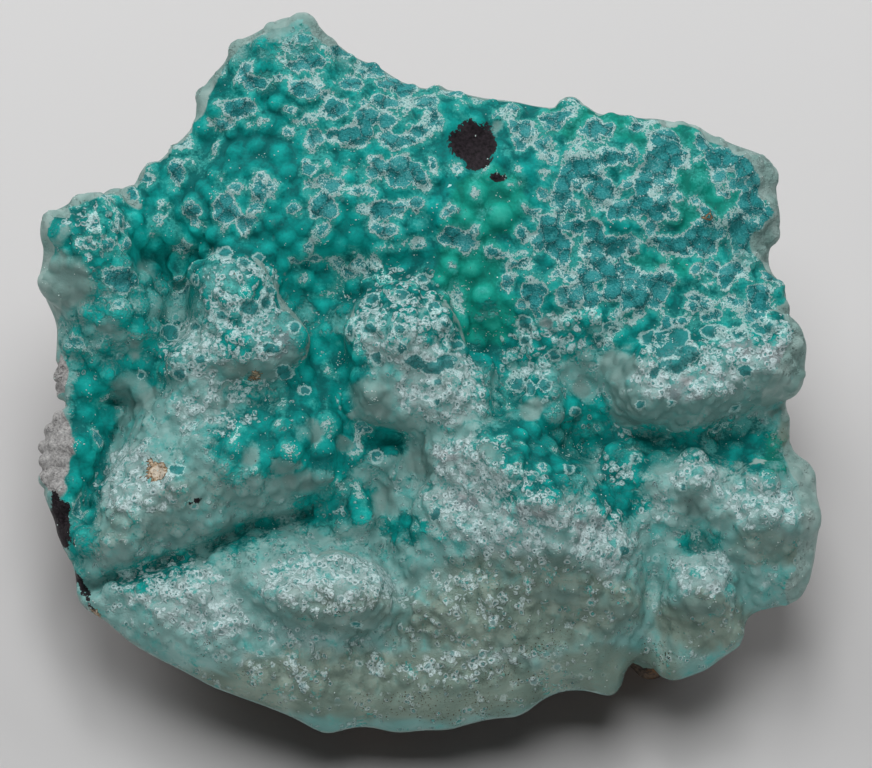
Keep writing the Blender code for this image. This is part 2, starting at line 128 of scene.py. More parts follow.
# Where the colours and habits lie on the face, as soft ovals in millimetres.
zones = {
    # white spongy caps of the lumps
    "sponge": [
        (-17.2, 6.2, 4.4, 4.0, 0, 1.0), (-17.4, 0.4, 5.3, 3.5, 0, 1.0), (-31.0, 12.2, 3.4, 3.6, 0, 0.62),
        (-2.2, 3.8, 5.0, 4.2, 0, 1.0), (1.1, -1.8, 4.4, 3.4, 0, 1.0), (25.3, -0.6, 8.6, 3.6, 6, 1.0),
        (32.4, 2.0, 2.4, 3.6, 0, 1.0), (-26.5, -10.6, 4.4, 3.6, 0, 0.95), (-19.4, -4.4, 4.6, 2.2, 0, 0.7),
        (-9.4, -19.9, 6.8, 3.4, 0, 1.0), (7.2, -13.6, 8.4, 4.6, -20, 1.0), (3.2, -8.2, 4.4, 2.4, 0, 0.85),
        (10.0, -11.4, 4.0, 1.8, -30, 0.8), (12.4, -14.4, 3.0, 2.0, -30, 0.9),
        (15.6, -16.2, 3.4, 4.4, 0, 0.85), (30.2, -12.6, 4.0, 2.6, 0, 1.0), (25.2, -18.6, 2.8, 2.4, 0, 0.95),
        (24.2, -10.0, 3.2, 2.2, 0, 0.8), (-22.7, -21.0, 7.4, 3.2, -28, 0.85),
        (4.0, -20.8, 7.0, 3.0, 0, 0.6), (-6.0, -27.0, 7.0, 2.6, -10, 0.5),
        (-24.0, -18.8, 6.6, 2.0, -12, 0.8), (21.0, -12.6, 2.6, 2.0, 0, 0.6),
        (-2.0, -22.6, 4.0, 2.0, 0, 0.5), (-13.0, -24.0, 5.0, 2.0, -12, 0.5), (10.5, -2.4, 2.0, 1.2, 0, 0.7),
        (-22.0, 1.8, 2.6, 3.6, 0, 0.7), (-2.6, 8.0, 4.0, 1.4, 0, 0.7), (9.0, 1.2, 3.0, 3.8, 0, 0.75),
        (13.0, 3.0, 4.4, 2.6, 0, 0.78), (17.0, -9.4, 2.4, 1.8, 0, 0.7), (4.0, -27.0, 7.0, 1.6, 10, 0.75),
        (-13.0, -27.6, 6.0, 1.2, -14, 0.6), (18.6, -5.4, 2.4, 1.4, 0, 0.6),
    ],
    # saturated blue-green
    "teal": [
        (-2.0, 17.0, 40.0, 13.0, 0, 1.0), (-9.4, -4.0, 4.6, 7.6, 0, 0.95), (-27.7, 1.4, 6.0, 5.0, 0, 0.60),
        (-31.0, -5.4, 2.0, 7.0, 0, 0.95), (12.0, -4.6, 8.0, 3.2, -20, 0.62),
        (19.4, -7.1, 5.5, 2.8, 0, 0.55), (26.8, -7.0, 5.0, 2.4, 0, 0.60), (-32.0, -13.0, 1.8, 6.0, 0, 0.6),
        (-15.2, -6.6, 5.4, 4.0, 25, 0.66), (9.6, -7.8, 5.6, 3.4, -30, 0.70), (8.9, -11.2, 3.0, 1.5, 0, 0.6),
        (-17.0, -15.4, 4.0, 1.4, 12, 0.5), (-25.4, -18.5, 4.6, 1.8, 10, 0.5),
        (17.2, -11.0, 2.2, 3.8, 0, 0.8), (-8.6, -12.6, 4.0, 2.6, 0, 0.72), (-2.4, -14.8, 2.2, 1.2, 0, 0.62),
        (-14.0, 3.0, 7.0, 8.0, 0, 0.55), (8.0, 4.6, 9.0, 5.0, 0, 0.9), (31.0, -8.4, 2.6, 1.8, 0, 0.6),
        (-4.0, -6.6, 2.6, 1.6, 0, 0.8), (25.0, -15.8, 2.6, 1.2, 0, 0.5), (20.0, 6.0, 15.0, 5.0, 0, 1.0),
        (-30.0, 12.0, 5.0, 5.0, 0, 0.7), (-18.0, 7.4, 5.0, 4.0, 0, 0.34), (-1.0, 4.0, 5.0, 3.0, 0, 0.34),
        (24.0, 1.6, 6.0, 2.0, 0, 0.42),
    ],
    # a warmer green in the coat
    "greener": [
        (24.2, 15.2, 4.4, 3.4, 0, 1.0), (5.6, 15.0, 3.6, 3.4, 0, 1.0), (3.4, 9.4, 3.4, 4.6, 0, 1.0),
        (14.0, 22.4, 5.0, 2.0, -6, 0.8), (5.0, 4.6, 3.4, 3.0, 0, 0.7), (20.0, 8.8, 4.6, 2.0, 0, 0.6),
        (22.0, 21.5, 4.0, 2.6, 0, 0.7), (32.0, -8.0, 1.6, 3.0, 0, 0.9), (-11.5, 32.0, 3.0, 1.0, 0, 0.7),
    ],
    # grey translucent mounds with no coat on them
    "clear": [
        (-26.0, 9.2, 1.0, 1.4, 0, 0.8), (-26.9, 1.4, 1.0, 1.0, 0, 0.8), (-28.2, -1.7, 1.5, 1.3, 0, 0.9),
        (-26.4, -2.8, 1.5, 1.7, 0, 0.9), (-33.2, 7.8, 2.6, 2.8, 0, 1.0), (-19.3, -3.4, 0.8, 0.6, 0, 0.9),
        (-10.9, -5.7, 1.6, 1.1, 0, 0.9), (-16.4, -8.3, 0.9, 1.5, 0, 0.9), (-12.0, -10.6, 2.4, 1.4, 0, 0.9),
        (-5.2, -2.9, 2.2, 2.2, 0, 1.0), (-7.4, -7.0, 0.9, 0.8, 0, 0.9), (-1.1, -8.8, 1.5, 1.5, 0, 1.0),
        (9.4, -3.8, 1.4, 1.2, 0, 1.0), (13.9, -1.9, 0.9, 1.0, 0, 1.0), (17.2, 0.0, 1.9, 1.6, 0, 1.0),
        (5.6, -8.0, 0.9, 0.9, 0, 0.9), (-4.2, -12.5, 1.1, 1.6, 0, 0.9), (-1.3, -19.0, 1.4, 1.4, 0, 0.8),
        (18.0, -3.4, 1.6, 2.2, 20, 0.9), (21.4, -9.4, 1.3, 1.0, 0, 0.8), (23.9, -12.5, 1.7, 1.3, 0, 0.9),
        (26.9, -14.1, 1.1, 1.0, 0, 0.8), (32.2, -14.8, 1.6, 1.0, 0, 0.8), (28.6, -17.2, 1.6, 1.0, 0, 0.8),
        (10.4, 3.8, 0.7, 0.7, 0, 1.0), (6.4, 22.0, 0.8, 0.8, 0, 0.9), (-13.9, 30.9, 1.0, 0.8, 0, 0.9),
        (-17.6, -19.2, 1.2, 0.9, 0, 0.6), (12.0, -15.6, 1.3, 1.0, 0, 0.7), (-33.6, 11.8, 0.9, 0.9, 0, 0.9),
    ],
    # grey and lilac tints of the bare crystals
    "lilac": [
        (-11.3, 25.6, 1.5, 1.1, 0, 1.0), (-18.6, 8.0, 2.4, 1.8, 0, 0.7), (-14.2, 2.8, 2.4, 2.2, 0, 0.9),
        (2.6, 1.3, 0.8, 0.7, 0, 1.0), (26.1, -0.9, 0.8, 0.9, 0, 1.0), (27.9, 1.6, 1.7, 0.9, 0, 0.9),
        (31.6, 1.4, 1.6, 1.1, 0, 0.9), (23.6, -2.0, 2.4, 1.2, 0, 0.7), (3.2, -12.4, 1.8, 0.9, 0, 0.8),
        (8.0, -13.2, 3.0, 1.4, 0, 0.6), (14.8, -15.0, 2.2, 1.4, 0, 0.6), (1.8, -7.6, 1.4, 0.9, 0, 0.7),
        (-1.6, 13.2, 2.0, 1.2, 0, 0.4), (-4.6, 12.8, 1.8, 0.8, 0, 0.5), (11.6, 4.0, 1.8, 1.2, 0, 0.6),
        (33.0, 4.0, 1.0, 2.2, 0, 0.8), (-0.4, 24.0, 1.2, 0.8, 0, 0.5), (-9.6, 15.0, 1.6, 1.2, 0, 0.4),
    ],
    # cream and olive tints of the lower skin, partly painted shade that darkens it towards the bottom edge
    "oliveAndShade": [
        (-33.0, 8.0, 2.8, 2.6, 0, 0.8), (-17.6, -1.0, 2.2, 1.8, 0, 0.5), (6.6, -19.4, 9.0, 2.6, 0, 0.5),
        (-8.0, -22.0, 6.0, 2.4, 0, 0.6), (31.0, -16.6, 3.6, 2.0, 0, 0.7), (0.0, -30.0, 14.0, 2.4, 0, 0.7),
        (-25.0, -13.4, 9.0, 2.4, 22, 0.45), (16.0, -28.0, 8.0, 3.0, 0, 0.8), (33.2, -5.6, 1.6, 1.8, 0, 0.8),
        (8.0, -22.5, 12.0, 4.0, 5, 0.9), (-4.0, -29.0, 20.0, 3.5, 0, 0.9), (25.0, -23.6, 4.5, 3.0, 0, 1.0),
        (8.0, -18.6, 8.0, 1.8, 0, 0.7),
    ],
    # dark rough manganese oxide
    "oxide": [
        (3.95, 20.6, 2.45, 1.95, 0, 1.0), (4.4, 19.2, 1.4, 1.3, 15, 1.0), (6.1, 17.2, 0.8, 0.5, 10, 0.95),
        (-33.9, -14.2, 0.9, 2.6, 14, 1.0), (-31.8, -20.2, 2.4, 0.35, -55, 0.9),
        (-21.3, -12.3, 0.7, 0.3, 15, 0.9),
    ],
    # ochre and tan stains
    "ochre": [
        (-24.9, -9.2, 1.25, 1.1, 20, 1.0), (-30.4, -22.4, 1.0, 0.4, -45, 0.8),
        (-16.0, -0.9, 0.7, 0.6, 0, 0.7), (25.4, 13.8, 0.6, 0.4, 0, 0.5), (-18.0, 7.9, 0.5, 0.4, 0, 0.5),
    ],
    # brown and black grains caught in the skin
    "dusty": [
        (2.9, -30.9, 9.0, 1.8, 0, 1.0), (8.6, -27.2, 4.6, 2.2, 35, 0.9), (-1.0, -24.8, 2.4, 1.2, 0, 0.7),
        (20.3, -25.8, 4.0, 1.5, 10, 0.7), (-20.8, -25.4, 5.0, 1.6, -25, 0.5),
        (8.0, -19.0, 7.0, 2.4, 0, 0.30), (-9.0, -22.0, 5.0, 2.6, 0, 0.30), (33.0, -6.5, 1.6, 2.4, 0, 0.5),
        (6.2, 17.0, 1.6, 1.0, 0, 0.7), (21.5, -17.5, 1.6, 2.4, 0, 0.3),
    ],
    # grey-white beads of the matrix at the left edge
    "greyBeads": [(-34.6, -7.4, 1.7, 4.4, 4, 1.0), (-34.2, -1.0, 0.7, 2.6, 0, 0.8)],
}

# Where the clear coat has gone from the spherules of the plateau: across, up, half width, half height.
wornPlaces = [
    (-19.1, 27.6, 0.7, 0.7), (-16.9, 27.5, 1.0, 0.8), (-16.4, 26.2, 1.3, 0.9), (-11.6, 30.2, 1.6, 0.8),
    (-8.3, 29.1, 1.8, 1.0), (-10.4, 27.9, 1.5, 0.9), (-12.4, 27.7, 1.3, 0.8), (-13.8, 26.6, 1.1, 0.5),
    (-11.4, 25.5, 1.7, 1.1), (-7.2, 26.2, 1.7, 1.0), (-4.8, 27.8, 2.4, 1.4), (-2.6, 26.0, 2.6, 1.3),
    (-4.2, 24.4, 2.4, 0.9), (-5.8, 22.7, 1.3, 1.3), (-3.9, 22.6, 1.2, 1.2), (-8.6, 23.6, 1.7, 1.1),
    (-17.6, 23.8, 1.9, 1.2), (-19.0, 22.5, 1.2, 0.8), (-22.9, 21.0, 1.1, 0.9), (-12.3, 23.6, 0.9, 0.4),
    (-12.8, 21.5, 0.9, 0.5), (-10.7, 20.8, 1.0, 1.7), (-6.9, 21.3, 1.9, 1.2), (-9.0, 21.4, 1.0, 0.9),
    (-2.8, 20.8, 2.4, 1.1), (-0.8, 21.6, 1.1, 0.9), (-11.1, 18.2, 0.8, 0.9), (-2.5, 18.0, 2.1, 1.7),
    (-0.7, 17.1, 1.0, 1.5), (0.2, 18.6, 0.7, 1.2), (-8.6, 16.5, 2.0, 0.7), (-6.2, 16.2, 1.6, 0.6),
    (-9.7, 14.8, 1.6, 1.4), (-12.5, 14.4, 0.8, 0.5), (-4.2, 14.4, 2.2, 1.1), (-4.2, 12.6, 1.2, 0.9),
    (-1.4, 14.8, 0.9, 0.7), (1.8, 14.5, 0.8, 0.6), (-1.4, 11.0, 0.9, 0.5), (2.1, 11.9, 1.3, 1.1),
    (3.6, 11.5, 0.9, 1.2), (-23.2, 17.9, 1.0, 1.3), (-26.2, 17.3, 0.8, 0.9), (-27.6, 15.8, 0.9, 1.0),
    (-21.8, 14.3, 0.8, 0.9), (-18.6, 14.3, 1.3, 1.6), (-17.1, 13.0, 0.8, 1.3), (-17.6, 16.4, 1.1, 0.9),
    (-15.5, 15.6, 0.9, 0.8), (1.8, 25.2, 1.3, 0.5), (0.4, 22.6, 1.0, 1.3), (-0.6, 24.4, 1.6, 0.8),
    (4.6, 24.6, 1.4, 0.6), (6.4, 23.4, 0.8, 0.6), (7.9, 23.4, 1.0, 0.8), (8.9, 21.8, 1.1, 1.0),
    (8.2, 20.6, 1.1, 0.8), (11.2, 22.6, 1.3, 0.9), (11.0, 19.4, 1.2, 0.9), (12.6, 18.8, 0.8, 0.8),
    (14.0, 19.1, 1.1, 1.0), (16.1, 19.0, 1.3, 1.1), (15.3, 20.6, 1.0, 0.8), (13.5, 20.7, 1.0, 0.5),
    (10.7, 17.8, 0.7, 0.5), (8.3, 16.9, 0.7, 0.4), (12.0, 16.4, 1.0, 1.0), (13.7, 16.8, 1.0, 0.9),
    (16.0, 16.0, 1.7, 1.2), (18.4, 16.5, 0.6, 0.5), (18.3, 18.5, 1.1, 0.8), (18.4, 20.0, 0.5, 0.4),
    (19.1, 22.1, 1.0, 0.8), (22.1, 21.0, 0.8, 0.6), (22.5, 19.3, 0.9, 0.8), (21.7, 17.9, 0.8, 1.2),
    (21.6, 16.5, 0.5, 0.5), (25.0, 20.5, 0.9, 0.8), (27.7, 20.3, 0.7, 0.9), (24.8, 19.1, 0.7, 0.6),
    (26.7, 19.3, 0.9, 0.7), (27.0, 17.9, 0.9, 0.5), (28.3, 16.7, 0.9, 0.8), (27.0, 15.9, 0.8, 0.6),
    (29.3, 18.8, 1.4, 1.4), (30.3, 17.1, 1.3, 1.7), (29.4, 15.1, 1.4, 1.7), (28.8, 12.3, 1.8, 2.1),
    (17.0, 14.1, 1.0, 1.0), (19.3, 14.2, 0.9, 0.9), (20.3, 13.0, 0.9, 0.8), (9.4, 14.2, 0.9, 0.8),
    (12.0, 14.0, 1.2, 0.9), (13.4, 13.0, 1.3, 0.9), (10.8, 13.2, 1.2, 0.9), (8.6, 11.8, 0.9, 1.2),
    (10.5, 11.5, 1.2, 1.1), (12.2, 11.5, 1.0, 0.9), (14.9, 11.1, 1.4, 1.1), (17.0, 10.8, 1.4, 1.0),
    (18.7, 10.3, 1.0, 0.7), (21.1, 11.5, 1.3, 0.9), (23.5, 10.8, 1.3, 1.0), (26.0, 9.1, 1.2, 0.9),
    (24.6, 8.8, 0.7, 0.5), (25.6, 12.2, 1.4, 0.7), (14.3, 8.6, 1.0, 0.4), (12.2, 7.0, 0.9, 0.7),
    (14.8, 6.1, 1.3, 1.0), (16.6, 7.0, 1.4, 1.5), (16.8, 8.9, 1.3, 0.9), (18.8, 6.4, 1.8, 1.4),
    (20.9, 7.4, 0.8, 0.9), (20.7, 5.8, 1.2, 0.8), (9.5, 6.6, 1.1, 1.4), (24.2, 6.4, 0.7, 0.6),
    (31.2, 8.4, 1.0, 0.8), (27.6, 5.9, 1.8, 0.8), (25.6, 4.6, 1.6, 0.8), (29.6, 4.6, 1.4, 1.0),
    (23.0, 4.2, 0.9, 0.7), (18.0, 4.1, 0.9, 0.6), (13.0, 4.8, 0.9, 0.5), (6.3, 10.4, 1.4, 0.5),
    (7.9, 9.4, 1.2, 0.6), (7.3, 7.8, 0.8, 0.8), (19.0, 4.9, 1.0, 0.5), (-28.2, 7.8, 1.7, 1.5),
    (-31.1, 11.3, 0.9, 0.8), (-29.3, 11.0, 0.8, 0.6), (-30.5, 13.2, 0.8, 1.0), (-28.4, 13.0, 0.9, 0.8),
]

# Single holes and rings with thick white lips, most of them in the spongy caps.
holes = [
    (-18.7, 10.4, 0.7, 0.5), (-16.8, 9.4, 0.6, 0.4), (-15.6, 10.0, 0.5, 0.4), (-21.3, 7.8, 0.4, 0.4),
    (-16.4, 5.4, 0.9, 0.7), (-14.5, 7.0, 0.5, 0.4), (-14.9, 5.8, 0.5, 0.6), (-21.5, 3.6, 0.5, 0.4),
    (-23.8, 3.2, 0.8, 0.7), (-20.8, 0.6, 0.5, 0.4), (-22.7, -0.7, 0.6, 0.7), (-14.3, 1.6, 0.9, 0.5),
    (-12.2, 3.6, 0.5, 0.6), (-13.2, -0.5, 0.7, 0.6), (-26.3, -0.8, 0.4, 0.3), (-18.9, 4.6, 0.6, 0.4),
    (-2.6, 3.4, 0.5, 0.5), (-2.5, 1.6, 0.5, 0.5), (-4.8, 0.8, 0.5, 0.6), (-7.2, 3.2, 0.4, 0.7),
    (-1.3, 0.4, 1.0, 0.7), (0.3, -0.2, 1.0, 0.6), (1.6, 0.4, 0.9, 0.7), (2.4, 2.0, 0.7, 0.4),
    (0.9, -1.4, 0.5, 0.4), (0.7, -3.2, 0.3, 0.3), (-5.4, 3.4, 0.8, 0.5), (8.7, 4.0, 0.6, 0.6),
    (8.7, 2.3, 0.5, 0.5), (11.5, 1.0, 0.6, 0.5), (8.0, -1.5, 0.7, 0.7), (9.3, -2.0, 0.4, 0.6),
    (10.6, -1.7, 0.5, 0.5), (15.5, 2.6, 0.4, 0.4), (16.7, 3.6, 0.7, 0.5), (10.5, -3.2, 0.3, 0.3),
    (13.4, -4.2, 0.4, 0.4), (-4.8, -8.2, 0.5, 0.6), (0.6, -13.5, 0.4, 0.6), (21.4, 2.0, 1.3, 1.2),
    (22.7, 2.7, 1.0, 1.0), (23.5, 1.1, 1.0, 0.9), (22.3, 0.0, 1.5, 0.6), (25.8, 3.2, 1.1, 0.6),
    (28.7, -0.4, 0.6, 0.5), (20.4, -0.6, 0.4, 0.6), (27.9, -3.8, 0.5, 0.3), (19.2, -3.5, 0.3, 0.3),
    (22.0, -3.3, 0.3, 0.3), (20.0, 2.6, 0.8, 0.7), (30.4, 3.6, 1.0, 0.7), (28.2, 3.0, 0.7, 0.5),
    (-5.2, 6.2, 0.6, 0.5), (-2.4, 6.6, 0.7, 0.5), (0.4, 5.4, 0.6, 0.6), (1.4, 3.8, 0.6, 0.4),
    (-0.6, 8.0, 0.5, 0.4), (-11.4, -2.2, 0.5, 0.4), (18.8, -8.4, 0.5, 0.4), (12.8, -9.3, 0.4, 0.4),
    (23.0, -11.0, 0.3, 0.4), (17.6, -16.8, 0.5, 0.4), (-23.0, -9.4, 0.7, 0.4), (-6.6, -23.4, 0.4, 0.3),
]

# Deep lines between the lumps: depth and half width in millimetres, then the points across and up the face.
creases = [
    (2.3, 0.6, [
        (-31.3, -19.2), (-27.2, -18.3), (-23.6, -16.8), (-19.4, -15.3), (-15.2, -13.6), (-11.5, -12.8),
    ]),
    (1.1, 0.7, [(-4.4, -16.8), (-2.9, -18.6), (-2.4, -21.3), (-3.9, -24.0), (-7.1, -24.9)]),
    (0.6, 1.8, [(14.6, -8.4), (16.8, -10.4), (19.6, -13.8), (20.9, -18.1), (20.4, -21.7), (20.2, -26.0)]),
    (1.0, 0.7, [(24.8, -15.6), (27.6, -17.6), (28.6, -20.2), (29.4, -22.0)]),
    (1.0, 0.8, [(15.2, -1.2), (17.6, -4.6), (22.6, -6.0), (28.4, -5.0), (32.6, -2.4)]),
    (2.3, 1.3, [(-26.0, 11.0), (-24.2, 9.6), (-23.0, 7.6), (-23.2, 5.0)]),
    (1.2, 0.7, [(-8.2, 2.6), (-7.9, -1.0), (-7.8, -4.4), (-5.2, -5.6), (-3.4, -5.6)]),
    (2.2, 1.1, [(-28.8, -2.6), (-29.0, -6.0), (-30.4, -10.2), (-31.2, -13.2)]),
    (0.9, 0.6, [(-14.2, 28.4), (-15.2, 27.2), (-15.0, 25.0)]),
    (0.8, 0.7, [(12.0, -7.0), (13.2, -7.4), (14.6, -7.2)]),
    (1.1, 0.7, [(-5.2, -9.4), (-4.6, -13.2), (-3.9, -16.4)]),
    (1.0, 0.7, [(-12.6, 9.8), (-9.6, 9.9), (-6.8, 10.8)]),
    (0.8, 0.7, [(-10.8, -12.6), (-11.2, -9.6), (-10.6, -7.2)]),
]

# Pale clear crust along the rim: how far it comes round to the front, then its points across and up.
rimStrips = [
    (0.92, [(-26.4, 16.6), (-24.4, 21.0), (-22.2, 25.4), (-20.4, 29.4), (-17.6, 31.8), (-15.6, 32.4)]),
    (0.85, [(-14.4, 32.6), (-12.6, 33.0), (-10.6, 32.5), (-9.4, 31.6)]),
    (0.90, [(29.4, 21.2), (31.4, 19.4), (32.3, 17.6), (32.0, 14.0), (31.4, 11.6)]),
    (0.80, [(23.2, 22.8), (25.6, 22.8), (27.6, 22.3)]),
    (0.90, [(34.4, 4.8), (34.7, 2.0), (33.8, -0.6), (32.4, -3.0)]),
    (0.90, [(-34.8, 13.4), (-35.8, 9.6), (-35.8, 5.6)]),
    (0.80, [(-32.4, 16.8), (-30.0, 18.0), (-27.2, 17.8)]),
    (0.95, [(34.6, -8.0), (35.8, -12.0), (35.8, -16.0), (34.6, -20.4)]),
]

# Small moves of the outline: across, up, reach, then how far across and up, all in millimetres.
outlineMoves = [
    (-21.5, 26.5, 4.8, -1.0, 0.5), (-24.5, 20.5, 3.8, -0.8, 0.5), (-13.0, 32.0, 4.5, 0.0, 0.7),
    (-5.0, 28.5, 5.0, 0.3, 0.4), (-33.0, 17.0, 4.0, 0.5, -1.4), (-35.0, 8.0, 4.0, -0.7, 0.0),
    (-34.0, 1.0, 4.0, -0.5, 0.0), (-35.0, -8.0, 4.5, -0.6, 0.0), (-33.5, -14.5, 4.0, -0.7, -0.3),
    (-31.0, -20.0, 4.0, -0.6, -0.6), (-27.0, -25.0, 4.0, -0.4, -0.5), (30.5, 19.5, 3.5, 0.8, 0.4),
    (31.8, 11.5, 2.6, -0.6, 0.0), (34.4, 3.0, 3.0, 0.4, 0.0), (32.6, -4.0, 3.0, 0.8, 0.0),
    (17.5, 24.2, 4.0, 0.0, -0.4), (1.5, 25.0, 6.5, 0.0, 1.4), (8.5, 24.8, 5.5, 0.0, 1.1),
    (13.0, 24.4, 4.5, 0.0, 0.8),
]

# Lumps that swell further out of the face: soft ovals as above, with the rise in millimetres as strength.
faceMoves = [
    (9.2, -8.6, 6.4, 3.8, -35, 2.6), (20.0, -9.0, 6.0, 2.6, 0, 1.6), (-18.2, 8.2, 3.0, 2.2, 0, 0.9),
    (-17.4, 1.6, 3.4, 2.2, 0, 0.9), (-10.0, -20.4, 5.6, 2.4, -6, 1.0), (24.8, -19.4, 3.0, 2.4, 0, 0.9),
    (31.2, -14.0, 3.0, 2.6, 0, 0.8), (-26.0, -11.4, 4.4, 2.4, 22, 0.7), (9.6, -14.2, 6.0, 3.0, -20, 0.8),
    (0.2, 3.2, 4.0, 3.2, 0, 0.7), (24.4, -11.6, 2.6, 1.8, 0, 0.7), (1.8, -8.6, 2.2, 2.0, 0, 0.6),
]

# Low swells all over the lower face: size, rise, and the heights from which and to which they grow.
noiseMoves = [(3.0, 0.55, 6.0, 0.0), (1.7, 0.22, 4.0, -2.0)]


def patchDepth(patches, across, up):
    # millimetres inside the nearest of some plain ovals, below 0 outside them
    depth = np.full_like(across, -face["farOutside"])
    for middleAcross, middleUp, halfWidth, halfHeight in patches:
        away = np.hypot((across - middleAcross) / halfWidth, (up - middleUp) / halfHeight)
        depth = np.maximum(depth, (1.0 - away) * min(halfWidth, halfHeight))
    return depth


def lineDistance(line, across, up):
    nearest = np.full_like(across, np.inf)
    for (fromAcross, fromUp), (toAcross, toUp) in zip(line[:-1], line[1:]):
        runAcross, runUp = toAcross - fromAcross, toUp - fromUp
        share = ((across - fromAcross) * runAcross + (up - fromUp) * runUp) / (runAcross**2 + runUp**2)
        share = np.clip(share, 0.0, 1.0)
        away = np.hypot(across - fromAcross - share * runAcross, up - fromUp - share * runUp)
        nearest = np.minimum(nearest, away)
    return nearest


def noiseAt(points, size):
    # three smooth random values for each point, with swells of the given size in millimetres
    return np.array([noise.noise_vector(Vector(point)) for point in points / (size * mm)])


def pick(obj):
    bpy.ops.object.select_all(action="DESELECT")
    obj.select_set(True)
    bpy.context.view_layer.objects.active = obj


def finishWith(obj, kind, **settings):
    pick(obj)
    modifier = obj.modifiers.new(kind.title(), kind)
    for name, value in settings.items():
        setattr(modifier, name, value)
    bpy.ops.object.modifier_apply(modifier=modifier.name)


def meshPoints(mesh):
    points = np.empty(len(mesh.vertices) * 3, np.float32)
    mesh.vertices.foreach_get("co", points)
    return points.reshape(-1, 3).astype(float)


def setPoints(mesh, points):
    mesh.vertices.foreach_set("co", points.astype(np.float32).ravel())
    mesh.update()


def treeOf(obj):
    return BVHTree.FromObject(obj, bpy.context.evaluated_depsgraph_get())


def copyOfNode(node, name):
    obj = bpy.data.objects.new(name, node.data.copy())
    bpy.context.scene.collection.objects.link(obj)
    obj.data.materials.clear()
    pick(obj)
    bpy.ops.object.mode_set(mode="EDIT")
    bpy.ops.mesh.select_all(action="SELECT")
    bpy.ops.mesh.remove_doubles(threshold=stoneMake["mergeReach"] * mm)
    bpy.ops.object.mode_set(mode="OBJECT")
    return obj


# The whole stone is one skin over rock and crust. Sizes are in millimetres.
stoneMake = {
    "name": "smithsoniteSpecimen",
    "mergeReach": 0.001,
    "baseVoxel": 0.42,
    "baseEase": 6,
    "lowEase": 220,
    "lowFrom": (-22.0, -28.0),
    "lowLeftOf": (17.0, 13.0),
    "lowLeast": 0.01,
    "creaseWobble": (4.0, 0.6),
    "creaseDeepest": 1.5,
    "creaseEase": 1,
    "sinkForBeads": 0.22,
    "skinVoxel": 0.19,
    "skinEase": 2,
    "triangles": 196000,
    "flatFoot": 0.45,
}

# How the clear coat wears: swells of the stray patches, ragged edges, and the pull of the caps.
wearMake = {
    "straySize": 2.3,
    "stray": 1.5,
    "strayFrom": 0.34,
    "raggedSize": 1.3,
    "ragged": 0.45,
    "raggedDepth": 0.35,
    "capPull": 0.5,
    "capMiddle": 0.5,
    "capReach": 1.2,
    "thinAll": 0.02,
    "thinRight": 0.42,
    "rightFrom": (6.0, 12.0),
    "aboveFrom": (-1.0, 4.0),
    "thickLow": 0.16,
    "lowFrom": (9.0, 4.0),
    "thickGreener": 0.16,
}

# How the coat and the holes are raised and sunk, with the depths over which their edges run.
coatMake = {
    "rise": 0.11,
    "edge": (0.12, -0.12),
    "holeDepth": 0.30,
    "holeEdge": (-0.12, 0.25),
    "holeRagged": (0.8, 0.22),
    "crustFrom": (0.2, 1.0),
    "facing": (0.30, 0.55),
}

# Spherules of the crust: radius in millimetres, spacing and depth of the centre as shares of it.
beadMake = {
    "seed": 5,
    "tries": 170000,
    "grid": 3.4,
    "worn": {"radius": (0.58, 1.00), "spacing": 1.60, "sunk": 0.55},
    "coat": {"radius": (1.00, 1.60), "spacing": 1.56, "sunk": 0.66},
    "sponge": {"radius": (0.42, 0.92), "spacing": 1.62, "sunk": 0.52},
    "skin": {"radius": (0.45, 1.10), "spacing": 1.60, "sunk": 0.80},
    "greyBeads": {"radius": (0.55, 1.00), "spacing": 1.50, "sunk": 0.35},
}

# Where each habit grows: heights on the face, shares of the soft ovals, and how far the base is tilted.
growMake = {
    "coatAbove": 4.0,
    "coatShare": 0.5,
    "spongeShare": 0.45,
    "spongeTilt": -0.65,
    "underTilt": -0.35,
    "underBelow": 8.0,
    "bareBelow": -25.0,
    "leastFacing": 0.35,
    "oxideShare": 0.35,
    "crustLeast": -0.5,
    "greyShare": 0.4,
    "greyLeast": -2.0,
}


def wearAt(points, across, up):
    # millimetres inside the worn patches: the placed ones, and stray ones where the coat is thin
    make = wearMake
    ragged = noiseAt(points, make["raggedSize"]) * make["ragged"]
    placed = patchDepth(wornPlaces, across + ragged[:, 0], up + ragged[:, 1])
    right = ease(*make["rightFrom"], across) * ease(*make["aboveFrom"], up)
    thin = make["thinAll"] + make["thinRight"] * right
    thin -= make["thickLow"] * ease(*make["lowFrom"], up)
    thin -= make["thickGreener"] * patchShare(zones["greener"], across, up)
    stray = noiseAt(points, make["straySize"])[:, 2] + thin - make["strayFrom"]
    return np.maximum(placed, stray * make["stray"]) + ragged[:, 2] * make["raggedDepth"]


def habitsAt(points, normals):
    # which kind of spherule grows at each place
    make = growMake
    across, up, out = onFace(points)
    below = crustDepth(up, out)
    tilted = normals @ upFace

    def share(name):
        return patchShare(zones[name], across, up)

    kind = np.where((up > make["coatAbove"]) | (share("teal") > make["coatShare"]), "coat", "skin")
    kind = np.where((kind == "coat") & (wearAt(points, across, up) > 0.0), "worn", kind)
    kind = np.where((share("sponge") > make["spongeShare"]) & (tilted > make["spongeTilt"]), "sponge", kind)
    kind = np.where((tilted < make["underTilt"]) & (up < make["underBelow"]), "skin", kind)
    kind = np.where((kind == "skin") & (up < make["bareBelow"]), "none", kind)
    kind = np.where(normals @ outFace < make["leastFacing"], "none", kind)
    kind = np.where(share("oxide") > make["oxideShare"], "none", kind)
    kind = np.where(below > make["crustLeast"], "none", kind)
    beaded = (share("greyBeads") > make["greyShare"]) & (below > make["greyLeast"])
    return np.where(beaded, "greyBeads", kind)


